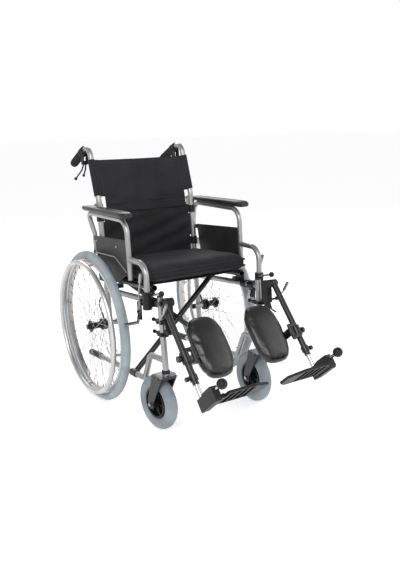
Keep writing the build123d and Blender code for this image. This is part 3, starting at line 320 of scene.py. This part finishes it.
nodeFinish = {
    "side_frame": "silver", "frame_fittings": "plastic", "rear_tyre": "tyre", "rear_rim": "rim",
    "rear_spokes": "steel", "rear_hub": "plastic", "handrim": "rim", "caster_fork": "blackPaint",
    "caster_tyre": "caster", "caster_hub": "plastic", "leg_hanger": "plastic", "leg_tube": "blackPaint",
    "leg_extension": "chrome", "footplate": "plastic", "leg_release": "steel", "armrest_tube": "silver",
    "side_panel": "panel", "arm_latch": "chrome", "lock_lever": "steel", "lock_shoe": "steel",
    "back_cane": "silver", "push_handle": "grip", "brake_lever": "plastic", "park_lever": "plastic",
}


def dress(piece, key):
    piece.data.materials.clear()
    piece.data.materials.append(materials[key])


def dressNodes():
    for side in sides:
        for node, key in nodeFinish.items():
            dress(nodes[side + "_" + node], key)
    dress(nodes["brace_a"], "blackPaint")
    dress(nodes["brace_b"], "blackPaint")


def dressFaces(node, key, chosen):
    # a second finish on the faces of a node whose middles pass the test
    mesh = nodes[node].data
    mesh.materials.append(materials[key])
    place = len(mesh.materials) - 1
    toWorld = nodes[node].matrix_world
    for face in mesh.polygons:
        if chosen(toWorld @ face.center):
            face.material_index = place


# the leg rest's own lines: its knee, the way down the leg and the way to the toes
legAngle = math.radians(41)
legDown = Vector((0, -math.sin(legAngle), -math.cos(legAngle)))
legFore = Vector((0, -math.cos(legAngle), math.sin(legAngle)))
legRest = {"knee": (-0.494, 0.495), "x": 0.235, "blockTop": 0.339, "blockFront": 0.0985, "tube": 0.0084,
           "ball": (0.356, 0.145), "ballRadius": 0.0176}


# Where small painted or plated areas lie on the plain parts, in metres.
paintSpots = {"ballX": 0.235, "ballYZ": (-0.482, 0.525), "ballReach": 0.0125, "boltFromFork": 0.0352,
              "stemFoot": 0.2165}


def dressDetails():
    knee = at(0, *legRest["knee"])
    for side in sides:
        sign = 1 if side == "left" else -1

        def alongLeg(point, knee=knee, sign=sign):
            away = point - knee
            return away.dot(legDown), away.dot(legFore), abs(point.x - sign * legRest["x"])

        def onBlock(point, alongLeg=alongLeg):
            along, fore, aside = alongLeg(point)
            ballAlong, ballFore = legRest["ball"]
            inBall = math.hypot(along - ballAlong, fore - ballFore, aside) < legRest["ballRadius"]
            onTube = math.hypot(fore, aside) < legRest["tube"]
            return inBall or (along > legRest["blockTop"] and fore < legRest["blockFront"] and not onTube)

        # the band of side-panel faces along the step edge that gets the painted highlight
        def onEdgeHighlight(point):
            low, high = 0.2422, 0.2456
            return low < abs(point.x) < high and -0.245 < point.y - axleY < 0.038 and 0.552 < point.z < 0.604

        dressFaces(side + "_leg_extension", "plastic", onBlock)
        # the side panel's step edge is coloured light grey: a painted highlight
        dressFaces(side + "_side_panel", "edgeHighlight", onEdgeHighlight)
        ballMiddle = at(sign * paintSpots["ballX"], *paintSpots["ballYZ"])
        dressFaces(side + "_arm_latch", "plastic",
                   lambda point, middle=ballMiddle: (point - middle).length < paintSpots["ballReach"])
        dressFaces(side + "_caster_hub", "steel",
                   lambda point: abs(abs(point.x) - chair["halfWidth"]) > paintSpots["boltFromFork"])
        dressFaces(side + "_caster_fork", "steel", lambda point: point.z > paintSpots["stemFoot"])


def link(name, mesh, key, smooth=True):
    piece = bpy.data.objects.new(name, mesh)
    bpy.context.scene.collection.objects.link(piece)
    mesh.materials.clear()
    mesh.materials.append(materials[key])
    if smooth:
        for face in mesh.polygons:
            face.use_smooth = True
    return piece


def meshFrom(name, points, faces):
    mesh = bpy.data.meshes.new(name)
    mesh.from_pydata([tuple(point) for point in points], [], faces)
    shape = bmesh.new()
    shape.from_mesh(mesh)
    bmesh.ops.recalc_face_normals(shape, faces=shape.faces)
    shape.to_mesh(mesh)
    shape.free()
    return mesh


def roundedBlock(size, radius, cuts):
    # points and faces of a block with rounded edges, centred on the origin
    shape = bmesh.new()
    bmesh.ops.create_cube(shape, size=2.0)
    bmesh.ops.subdivide_edges(shape, edges=shape.edges[:], cuts=cuts, use_grid_fill=True)
    half = Vector(size) / 2
    for corner in shape.verts:
        point = Vector([corner.co[i] * half[i] for i in range(3)])
        inner = Vector([max(-(half[i] - radius), min(half[i] - radius, point[i])) for i in range(3)])
        out = point - inner
        corner.co = inner + out.normalized() * radius if out.length > 1e-9 else point
    points = [corner.co.copy() for corner in shape.verts]
    faces = [[corner.index for corner in face.verts] for face in shape.faces]
    shape.free()
    return points, faces


def tubeAlong(name, points, radius, key, sections=8, cyclic=False):
    # a smooth round cord through the points, as a plain mesh
    curve = bpy.data.curves.new(name, "CURVE")
    curve.dimensions = "3D"
    curve.bevel_depth = radius
    curve.bevel_resolution = sections // 2
    curve.use_fill_caps = True
    spline = curve.splines.new("NURBS")
    spline.points.add(len(points) - 1)
    for spot, point in zip(spline.points, points):
        spot.co = (*point, 1)
    spline.order_u = 3
    spline.use_endpoint_u = not cyclic
    spline.use_cyclic_u = cyclic
    spline.resolution_u = 8
    holder = bpy.data.objects.new(name + "Path", curve)
    bpy.context.scene.collection.objects.link(holder)
    bpy.context.view_layer.update()
    mesh = bpy.data.meshes.new_from_object(holder.evaluated_get(bpy.context.evaluated_depsgraph_get()))
    bpy.data.objects.remove(holder)
    return link(name, mesh, key)


def puff(piece, pressure, cap, voxel=0.006):
    # the pad swells a little under cloth pressure, and no point moves further than the cap
    remesh = piece.modifiers.new("remesh", "REMESH")
    remesh.mode = "VOXEL"
    remesh.voxel_size = voxel
    graph = bpy.context.evaluated_depsgraph_get()
    mesh = bpy.data.meshes.new_from_object(piece.evaluated_get(graph))
    piece.modifiers.clear()
    piece.data = mesh
    start = [corner.co.copy() for corner in mesh.vertices]
    cloth = piece.modifiers.new("cloth", "CLOTH")
    cloth.settings.use_pressure = True
    cloth.settings.uniform_pressure_force = pressure
    cloth.settings.effector_weights.gravity = 0
    scene = bpy.context.scene
    for step in range(1, 21):
        scene.frame_set(step)
    graph = bpy.context.evaluated_depsgraph_get()
    swollen = bpy.data.meshes.new_from_object(piece.evaluated_get(graph))
    piece.modifiers.clear()
    for corner, rest in zip(swollen.vertices, start):
        move = corner.co - rest
        if move.length > cap:
            corner.co = rest + move.normalized() * cap
    scene.frame_set(1)
    piece.data = swollen
    for face in swollen.polygons:
        face.use_smooth = True


addCamera()
world = bpy.data.worlds.new("studio")
world.use_nodes = True
# white near the horizon, and darker overhead so that the tubes get shaded edges
sky = world.node_tree
skyHeight = sky.nodes.new("ShaderNodeSeparateXYZ")
sky.links.new(sky.nodes.new("ShaderNodeTexCoord").outputs["Generated"], skyHeight.inputs[0])
skyShade = sky.nodes.new("ShaderNodeValToRGB")
skyShade.color_ramp.elements[0].position = 0.35
skyShade.color_ramp.elements[0].color = (1, 1, 1, 1)
skyShade.color_ramp.elements[1].position = 0.75
skyShade.color_ramp.elements[1].color = (0.42, 0.42, 0.43, 1)
sky.links.new(skyHeight.outputs["Z"], skyShade.inputs["Fac"])
sky.links.new(skyShade.outputs["Color"], sky.nodes["Background"].inputs["Color"])
sky.nodes["Background"].inputs["Strength"].default_value = 1.0
bpy.context.scene.world = world
bpy.context.scene.view_settings.view_transform = "Standard"
addLight("keyLight", (-2.6, -2.6, 3.2), (0, 0, 0.5), 2.2, 75)
addLight("fillLight", (2.8, -2.2, 2.2), (0, 0, 0.5), 2.6, 25)
addLight("frontLight", (-0.9, -3.4, 2.4), (0, -0.5, 0.4), 1.1, 22)
addLight("backLight", (0.8, 3.0, 2.8), (0, 0, 0.6), 2.4, 60)

floorCorners = [(x, y, 0) for x, y in ((-60, -60), (60, -60), (60, 60), (-60, 60))]
floor = link("floor", meshFrom("floor", floorCorners, [(0, 1, 2, 3)]), "panel")
paleFloor = newMaterial("paleFloor", (0.86, 0.86, 0.87), 0.0, 0.6)
paleFloor.node_tree.nodes["Principled BSDF"].inputs["Emission Color"].default_value = (1, 1, 1, 1)
paleFloor.node_tree.nodes["Principled BSDF"].inputs["Emission Strength"].default_value = 0.42
varyRoughness(paleFloor, noiseNode(paleFloor.node_tree, 3, 3), 0.6, 0.8)
floor.data.materials[0] = paleFloor
dressNodes()
dressDetails()
print("frame dressed, camera and light set")

# small repeated pieces, placed by geometry nodes and then kept as plain meshes
repeats = {"nipples": 36, "nippleRadius": 0.0021, "nippleLength": 0.009, "spokeEnd": 0.2516,
           "gripRibs": 15, "gripStart": 0.0185, "gripStep": 0.0062, "ribRadius": 0.0011,
           "rivetRadius": 0.0042, "rivetHeight": 0.0024, "stitch": 0.0036, "stitchGap": 0.0062}


def repeatTree(name, kind):
    # instances of one small shape on the points, each turned along its point's aim
    tree = bpy.data.node_groups.new(name, "GeometryNodeTree")
    for label, socket in (("Geometry", "NodeSocketGeometry"), ("Radius", "NodeSocketFloat"),
                          ("Length", "NodeSocketFloat"), ("Material", "NodeSocketMaterial")):
        tree.interface.new_socket(label, in_out="INPUT", socket_type=socket)
    tree.interface.new_socket("Geometry", in_out="OUTPUT", socket_type="NodeSocketGeometry")
    add, join = tree.nodes.new, tree.links.new
    given, result = add("NodeGroupInput"), add("NodeGroupOutput")
    aim = add("GeometryNodeInputNamedAttribute")
    aim.data_type = "FLOAT_VECTOR"
    aim.inputs["Name"].default_value = "aim"
    turn = add("FunctionNodeAlignRotationToVector")
    turn.axis = "Z"
    join(aim.outputs["Attribute"], turn.inputs["Vector"])
    if kind == "ring":
        line, profile = add("GeometryNodeCurvePrimitiveCircle"), add("GeometryNodeCurvePrimitiveCircle")
        line.inputs["Resolution"].default_value = 40
        profile.inputs["Resolution"].default_value = 8
        join(given.outputs["Radius"], line.inputs["Radius"])
        join(given.outputs["Length"], profile.inputs["Radius"])
        shape = add("GeometryNodeCurveToMesh")
        join(line.outputs["Curve"], shape.inputs["Curve"])
        join(profile.outputs["Curve"], shape.inputs["Profile Curve"])
    else:
        shape = add("GeometryNodeMeshCone")
        shape.inputs["Vertices"].default_value = 12 if kind == "pin" else 16
        lessen = add("ShaderNodeMath")
        lessen.operation = "MULTIPLY"
        lessen.inputs[1].default_value = 0.75 if kind == "pin" else 0.6
        join(given.outputs["Radius"], lessen.inputs[0])
        join(lessen.outputs[0], shape.inputs["Radius Top"])
        join(given.outputs["Radius"], shape.inputs["Radius Bottom"])
        join(given.outputs["Length"], shape.inputs["Depth"])
    copies = add("GeometryNodeInstanceOnPoints")
    real = add("GeometryNodeRealizeInstances")
    paint = add("GeometryNodeSetMaterial")
    join(given.outputs["Geometry"], copies.inputs["Points"])
    join(shape.outputs["Mesh"], copies.inputs["Instance"])
    join(turn.outputs["Rotation"], copies.inputs["Rotation"])
    join(copies.outputs["Instances"], real.inputs["Geometry"])
    join(real.outputs["Geometry"], paint.inputs["Geometry"])
    join(given.outputs["Material"], paint.inputs["Material"])
    join(paint.outputs["Geometry"], result.inputs["Geometry"])
    return tree


repeatTrees = {kind: repeatTree(kind + "Repeats", kind) for kind in ("pin", "rivet", "ring")}


def repeatPiece(name, places, kind, radius, length, key):
    points = bpy.data.meshes.new(name + "Points")
    points.from_pydata([tuple(place) for place, way in places], [], [])
    ways = points.attributes.new("aim", "FLOAT_VECTOR", "POINT")
    ways.data.foreach_set("vector", [part for place, way in places for part in way])
    holder = bpy.data.objects.new(name + "Points", points)
    bpy.context.scene.collection.objects.link(holder)
    nodesOn = holder.modifiers.new("repeats", "NODES")
    nodesOn.node_group = repeatTrees[kind]
    values = {"Radius": radius, "Length": length, "Material": materials[key]}
    for item in repeatTrees[kind].interface.items_tree:
        if item.in_out == "INPUT" and item.name in values:
            nodesOn[item.identifier] = values[item.name]
    bpy.context.view_layer.update()
    mesh = bpy.data.meshes.new_from_object(holder.evaluated_get(bpy.context.evaluated_depsgraph_get()))
    bpy.data.objects.remove(holder)
    mesh.name = name
    return link(name, mesh, key, kind == "ring")


def addNipples(side):
    sign = 1 if side == "left" else -1
    places = []
    for index in range(repeats["nipples"]):
        angle = 2 * math.pi * index / repeats["nipples"]
        outward = Vector((0, math.cos(angle), math.sin(angle)))
        offset = 0.0025 if index % 2 else -0.0025
        middle = Vector((sign * (wheelX + offset), axleY, axleZ))
        places.append((middle + outward * (repeats["spokeEnd"] - repeats["nippleLength"]), outward))
    piece = repeatPiece(
        side + "Nipples", places, "pin", repeats["nippleRadius"], repeats["nippleLength"], "plastic")
    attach(piece, side + "_rear_wheel")


def addGripRibs(side):
    mount = next(item for item in frame["record"]["mounts"] if item["name"] == side + "_grip")
    way = Vector(mount["axis"])
    front = Vector(mount["pos_m"]) - way * (mount["dims"]["length_mm"] / 2000 + 0.014)
    places = [(front + way * (repeats["gripStart"] + repeats["gripStep"] * index), way)
              for index in range(repeats["gripRibs"])]
    piece = repeatPiece(
        side + "GripRibs", places, "ring", mount["dims"]["r_mm"] / 1000, repeats["ribRadius"], "grip")
    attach(piece, side + "_back")


def addRivets(side):
    sign = 1 if side == "left" else -1
    faceX = 0.2421
    spots = ((0.035, 0.572), (-0.155, 0.640), (0.024, 0.640))
    places = [(at(sign * faceX, y, z), Vector((sign, 0, 0))) for y, z in spots]
    piece = repeatPiece(
        side + "Rivets", places, "rivet", repeats["rivetRadius"], repeats["rivetHeight"], "steel")
    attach(piece, side + "_armrest")


for side in sides:
    addNipples(side)
    addGripRibs(side)
    addRivets(side)
print("nipples, grip ribs and rivets placed")

# brake cables: one smooth line over the same points as the CAD route, in metres
cable = {
    "radius": 0.0025,
    "route": [(0.197, 0.148, 0.934), (0.197, 0.131, 0.908), (0.197, 0.107, 0.866), (0.196, 0.084, 0.812),
              (0.195, 0.064, 0.758), (0.196, 0.053, 0.704), (0.196, 0.050, 0.650), (0.195, 0.044, 0.598),
              (0.196, 0.041, 0.540), (0.199, 0.036, 0.486), (0.206, 0.037, 0.442), (0.220, 0.048, 0.410),
              (0.234, 0.058, 0.384), (0.2365, 0.050, 0.360), (0.2363, 0.033, 0.346)],
}
for side in sides:
    sign = 1 if side == "left" else -1
    path = [at(sign * x, y, z) for x, y, z in cable["route"]]
    sheath = tubeAlong(side + "BrakeCable", path, cable["radius"], "cable")
    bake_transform(sheath)
    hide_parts(side + "_brake_cable")
print("cables run")

# seat cushion and the sling under it
cushion = {"crown": 0.009, "edgeRadius": 0.024, "length": 0.376, "thickness": 0.066,
           "pressure": 4.0, "cap": 0.008,
           "wave": 0.003, "frontDrop": 0.008, "pipingInset": -0.0005}


def seatPoint(x, along, up):
    # the seat's own frame: x across, along towards the back, up square to it, from the cushion's middle
    low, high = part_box("seat_cushion")
    middle = (low + high) / 2
    lean = chair["pitch"]
    return Vector((x, middle.y + along * math.cos(lean) + up * math.sin(lean),
                   middle.z - along * math.sin(lean) + up * math.cos(lean)))


def addCushion():
    low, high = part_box("seat_cushion")
    width = high.x - low.x
    size = (width - 0.006, cushion["length"] - 0.006, cushion["thickness"] - 0.008)
    points, faces = roundedBlock(size, cushion["edgeRadius"], 30)
    shaped = []
    for point in points:
        u, v = point.x / (size[0] / 2), point.y / (size[1] / 2)
        crown = cushion["crown"] * (1 - u * u) * (1 - v * v) - cushion["frontDrop"] * max(0.0, -v) ** 5
        wave = cushion["wave"] * noise.noise(Vector((point.x * 9, point.y * 7, 0.3)))
        lift = (crown + wave) if point.z > 0 else 0.0
        pinch = 0.002 * (1 - abs(point.z) / (size[2] / 2))
        shaped.append(seatPoint(point.x * (1 - pinch), point.y, point.z + lift))
    piece = link("seatCushion", meshFrom("seatCushion", shaped, faces), "nylon")
    puff(piece, cushion["pressure"], cushion["cap"] * 0.5)
    return piece, size


seat, cushionSize = addCushion()


def seatEdge(up, inset):
    # a closed path round the cushion, for its piping
    halfX, halfY, corner = cushionSize[0] / 2 - inset, cushionSize[1] / 2 - inset, cushion["edgeRadius"]
    path = []
    for cornerX, cornerY, turn in ((1, 1, 0), (-1, 1, 90), (-1, -1, 180), (1, -1, 270)):
        for step in range(5):
            angle = math.radians(turn + 22.5 * step)
            path.append(seatPoint(cornerX * (halfX - corner) + corner * math.cos(angle),
                                  cornerY * (halfY - corner) + corner * math.sin(angle), up))
        nextX, nextY = {0: (-1, 1), 90: (-1, -1), 180: (1, -1), 270: (1, 1)}[turn]
        for share in (0.2, 0.4, 0.6, 0.8):
            startX, startY = cornerX * (halfX - corner), cornerY * (halfY - corner)
            endX, endY = nextX * (halfX - corner), nextY * (halfY - corner)
            outX = corner * math.cos(math.radians(turn + 90))
            outY = corner * math.sin(math.radians(turn + 90))
            path.append(seatPoint(startX + (endX - startX) * share + outX,
                                  startY + (endY - startY) * share + outY, up))
    return path


seatSoft = [seat]
for name, up in (("seatPipingTop", 0.008), ("seatPipingBottom", -0.016)):
    seatSoft.append(tubeAlong(name, seatEdge(up, cushion["pipingInset"]), 0.0024, "nylon", 6, True))
slingLow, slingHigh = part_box("seat_sling")
slingMiddle = (slingLow + slingHigh) / 2


def addSling():
    # the sling sags a little between the rails
    rows, columns = 24, 28
    halfX = (slingHigh.x - slingLow.x) / 2 - 0.0005
    halfY = 0.167
    points, faces = [], []
    lean = chair["pitch"]
    for layer in (0, 1):
        for i in range(rows + 1):
            for j in range(columns + 1):
                u, v = 2 * j / columns - 1, 2 * i / rows - 1
                up = 0.0011 * (1 if layer else -1)
                sag = -0.004 * (1 - u * u) * (0.6 + 0.4 * noise.noise(Vector((u * 3, v * 3, 1.7))))
                along = v * halfY
                points.append(Vector((
                    u * halfX, slingMiddle.y + along * math.cos(lean) + (up + sag) * math.sin(lean),
                                      slingMiddle.z - along * math.sin(lean) + (up + sag) * math.cos(lean))))
    count = (rows + 1) * (columns + 1)
    for i in range(rows):
        for j in range(columns):
            a = i * (columns + 1) + j
            b, c, d = a + 1, a + columns + 2, a + columns + 1
            faces.append((a + count, b + count, c + count, d + count))
            faces.append((d, c, b, a))
    border = [j for j in range(columns + 1)]
    border += [i * (columns + 1) + columns for i in range(1, rows + 1)]
    border += [rows * (columns + 1) + j for j in range(columns - 1, -1, -1)]
    border += [i * (columns + 1) for i in range(rows - 1, 0, -1)]
    for a, b in zip(border, border[1:] + border[:1]):
        faces.append((a, b, b + count, a + count))
    return link("seatSling", meshFrom("seatSling", points, faces), "nylon")


seatSoft.append(addSling())
for piece in seatSoft:
    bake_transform(piece)
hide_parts("seat_cushion")
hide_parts("seat_sling")
print("seat covered")

# back upholstery: a sleeve round each cane with a slack sheet between
backCloth = {"sleeve": 0.0143, "cloth": 0.0016, "sag": 0.014, "fold": 0.0048, "crease": 0.782}


def clothSection(point, halfX, edge, sag, wrinkle, columns=40):
    # one closed outline across the back: point(x, back) gives the place
    outline = []
    sleeveX = halfX - edge
    stations = [sleeveX * (2 * j / columns - 1) for j in range(columns + 1)]

    def thickness(x):
        inward = sleeveX - abs(x)
        share = min(1.0, inward / 0.03)
        return edge * (1 - share) ** 1.6 + backCloth["cloth"]

    def slack(x):
        return sag * max(0.0, 1 - (x / sleeveX) ** 2) + wrinkle(x)
    for x in stations:
        outline.append(point(x, -thickness(x) + slack(x)))
    for step in range(1, 8):
        angle = math.radians(-90 + 180 * step / 8)
        outline.append(point(sleeveX + edge * math.cos(angle), (edge + backCloth["cloth"]) * math.sin(angle)))
    for x in reversed(stations):
        outline.append(point(x, thickness(x) + slack(x)))
    for step in range(1, 8):
        angle = math.radians(90 + 180 * step / 8)
        outline.append(
            point(-sleeveX + edge * math.cos(angle), (edge + backCloth["cloth"]) * math.sin(angle)))
    return outline


def loft(name, rings, key):
    points = [point for outline in rings for point in outline]
    size = len(rings[0])
    faces = []
    for i in range(len(rings) - 1):
        for j in range(size):
            k = (j + 1) % size
            faces.append((i * size + j, i * size + k, (i + 1) * size + k, (i + 1) * size + j))
    faces.append(tuple(range(size)))
    faces.append(tuple(range((len(rings) - 1) * size, len(rings) * size)))
    return link(name, meshFrom(name, points, faces), key)


def addBackUpper():
    wide, narrow = chair["halfWidth"] + 0.0145, chair["halfWidth"] - 0.017
    rings = []
    heights = [0.741 + (0.949 - 0.741) * i / 62 for i in range(63)]
    for z in heights:
        aboveCut = z > 0.81
        halfX = wide if aboveCut else narrow - 0.012
        edge = backCloth["sleeve"] if aboveCut else 0.003

        def wrinkle(x, z=z):
            near = max(0.0, 1 - (z - 0.75) / 0.12)
            slant = math.sin((x * 34 + z * 75)) * 0.5 + noise.noise(Vector((x * 14, z * 22, 0.8)))
            pinch = -0.8 * math.exp(-((z - backCloth["crease"] - 0.03 * x) / 0.006) ** 2)
            return backCloth["fold"] * ((0.2 + near) * slant + pinch) * max(0.0, 1 - (abs(x) / narrow) ** 4)
        sag = backCloth["sag"] * (0.45 + 0.55 * math.sin(math.pi * min(1, max(0, (z - 0.74) / 0.22))))

        def place(x, back, z=z):
            return canePoint(x, z, back) if z > 0.792 else postPoint(x, z, back)
        rings.append(clothSection(place, halfX, edge, sag, wrinkle))
    return loft("backUpper", rings, "nylon")


def addBackLower():
    rings = []
    for i in range(40):
        z = 0.540 + (0.7475 - 0.540) * i / 39
        narrow = chair["halfWidth"] - chair["tube"] - (0.0008 if 0.616 < z < 0.706 else 0.0062)

        def wrinkle(x, z=z):
            fold = math.sin(x * 30 - z * 95 + 2 * noise.noise(Vector((x * 6, z * 9, 4.1))))
            depth = max(0.0, math.sin(math.pi * (z - 0.53) / 0.26))
            return 0.0026 * depth * (fold + noise.noise(Vector((x * 12, z * 16, 2.2))))
        sag = 0.010 * max(0.0, math.sin(math.pi * (z - 0.53) / 0.26)) + 0.006 * max(0.0, (z - 0.72) / 0.0275)
        rings.append(clothSection(lambda x, back, z=z: postPoint(x, z, back), narrow, 0.003, sag, wrinkle))
    return loft("backLower", rings, "nylon")


upper = addBackUpper()
lower = addBackLower()
for piece, body in ((upper, "right_back"), (lower, "right_frame")):
    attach(piece, body)
    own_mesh(piece)


def backStitches():
    # two rows under the top hem and one beside each sleeve, just proud of the cloth's front
    inner = chair["halfWidth"] - 0.030
    rows = []
    for z in (0.938, 0.934):
        count = int(2 * inner / repeats["stitchGap"])
        for j in range(count):
            rows.append((-inner + (j + 0.5) * 2 * inner / count, z, Vector((1, 0, 0))))
    for x in (-inner, inner):
        count = int(0.118 / repeats["stitchGap"])
        for j in range(count):
            rows.append((x, 0.814 + (j + 0.5) * 0.118 / count, Vector((0, 0.3, 0.95))))
    graph = bpy.context.evaluated_depsgraph_get()
    cloth = upper.evaluated_get(graph)
    places = []
    for x, z, way in rows:
        start = canePoint(x, z, -0.08)
        hit, spot, normal, index = cloth.ray_cast(start, (canePoint(x, z, 0.05) - start).normalized())
        if hit:
            places.append((spot - way * repeats["stitch"] / 2, way))
    return repeatPiece("backStitches", places, "pin", 0.0006, repeats["stitch"], "thread")


stitches = backStitches()
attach(stitches, "right_back")
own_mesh(stitches)
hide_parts("back_upper")
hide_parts("back_lower")
print("back covered")

# armrest pads: moulded, higher at the front, with a soft chamfer
armPad = {"radius": 0.0118, "noseStart": 0.84, "rearDrop": 0.42}


def addArmPad(side):
    low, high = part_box(side + "_arm_pad")
    size = Vector((high.x - low.x, high.y - low.y, high.z - low.z))
    middle = (low + high) / 2
    points, faces = roundedBlock(size, armPad["radius"], 22)
    shaped = []
    for point in points:
        v = point.y / (size.y / 2)            # -1 at the front tip
        nose = max(0.0, (abs(v) - armPad["noseStart"]) / (1 - armPad["noseStart"]))
        x = point.x * (1 - 0.42 * nose ** 2)
        z = point.z
        if z > 0:
            z *= 1 - armPad["rearDrop"] * max(0.0, (v + 1) / 2) ** 1.6 - 0.3 * nose ** 2
        shaped.append(Vector((x, point.y, z)) + middle)
    piece = link(side + "ArmPad", meshFrom(side + "ArmPad", shaped, faces), "padSkin")
    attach(piece, side + "_armrest")
    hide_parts(side + "_arm_pad")


# calf pads: a puffed vinyl pad on its plate, with its hinge arm
calf = {"x": 0.1195, "along": 0.180, "halfWidth": 0.0710, "halfLength": 0.1145, "roundness": 3.0,
        "thickness": 0.042, "front": 0.005, "dome": 0.003, "edgeDrop": 0.008,
        "hingeX": 0.206, "hingeFore": 0.009}


def legPoint(x, along, fore):
    return at(x, *legRest["knee"]) + legDown * along + legFore * fore


def addCalfPad(side):
    sign = 1 if side == "left" else -1
    size = (2 * calf["halfWidth"] - 0.002, 2 * calf["halfLength"] - 0.002, calf["thickness"] - 0.002)
    points, faces = roundedBlock(size, 0.019, 24)
    shaped = []
    power = calf["roundness"]
    for point in points:
        # the block's square outline is drawn in to a rounded one, and its front is domed
        u, v = point.x / (size[0] / 2), point.y / (size[1] / 2)
        square = max(abs(u), abs(v))
        outline = (abs(u) ** power + abs(v) ** power) ** (1 / power)
        shrink = square / outline if outline > 1e-6 else 1.0
        reach = min(1.0, square)
        fore = point.z
        if fore > 0:
            fore += calf["dome"] * (1 - reach ** 2) - calf["edgeDrop"] * reach ** 4
        shaped.append(legPoint(sign * (calf["x"] + point.x * shrink), calf["along"] + point.y * shrink,
                               calf["front"] - calf["thickness"] / 2 + fore))
    pad = link(side + "CalfPad", meshFrom(side + "CalfPad", shaped, faces), "vinyl")
    puff(pad, 3.0, 0.002, 0.005)
    plateShape, plateFaces = roundedBlock((0.070, 0.150, 0.003), 0.0014, 6)
    back = calf["front"] - calf["thickness"] - 0.0018
    plate = link(side + "CalfPlate", meshFrom(side + "CalfPlate", [
        legPoint(sign * (calf["x"] + p.x), calf["along"] + p.y, back + p.z) for p in plateShape], plateFaces),
        "plastic", False)
    armShape, armFaces = roundedBlock((0.058, 0.030, 0.005), 0.002, 4)
    arm = link(side + "CalfArm", meshFrom(side + "CalfArm", [
        legPoint(
            sign * (0.170 + p.x), calf["along"] + 0.024 + p.y,
            calf["front"] - calf["thickness"] - 0.006 + p.z)
        for p in armShape], armFaces), "blackPaint", False)
    webShape, webFaces = roundedBlock((0.005, 0.030, 0.058), 0.002, 4)
    web = link(side + "CalfWeb", meshFrom(side + "CalfWeb", [
        legPoint(sign * (0.1965 + p.x), calf["along"] + 0.024 + p.y, -0.016 + p.z)
        for p in webShape], webFaces), "blackPaint", False)
    eye = tubeAlong(side + "CalfEye", [legPoint(sign * calf["hingeX"], calf["along"] + s, calf["hingeFore"])
                                       for s in (0.0085, 0.024, 0.0395)], 0.008, "blackPaint", 12)
    for piece in (pad, plate, arm, web, eye):
        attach(piece, side + "_calf_pad")
    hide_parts(side + "_calf_pad")


for side in sides:
    addArmPad(side)
    addCalfPad(side)
print("pads fitted")
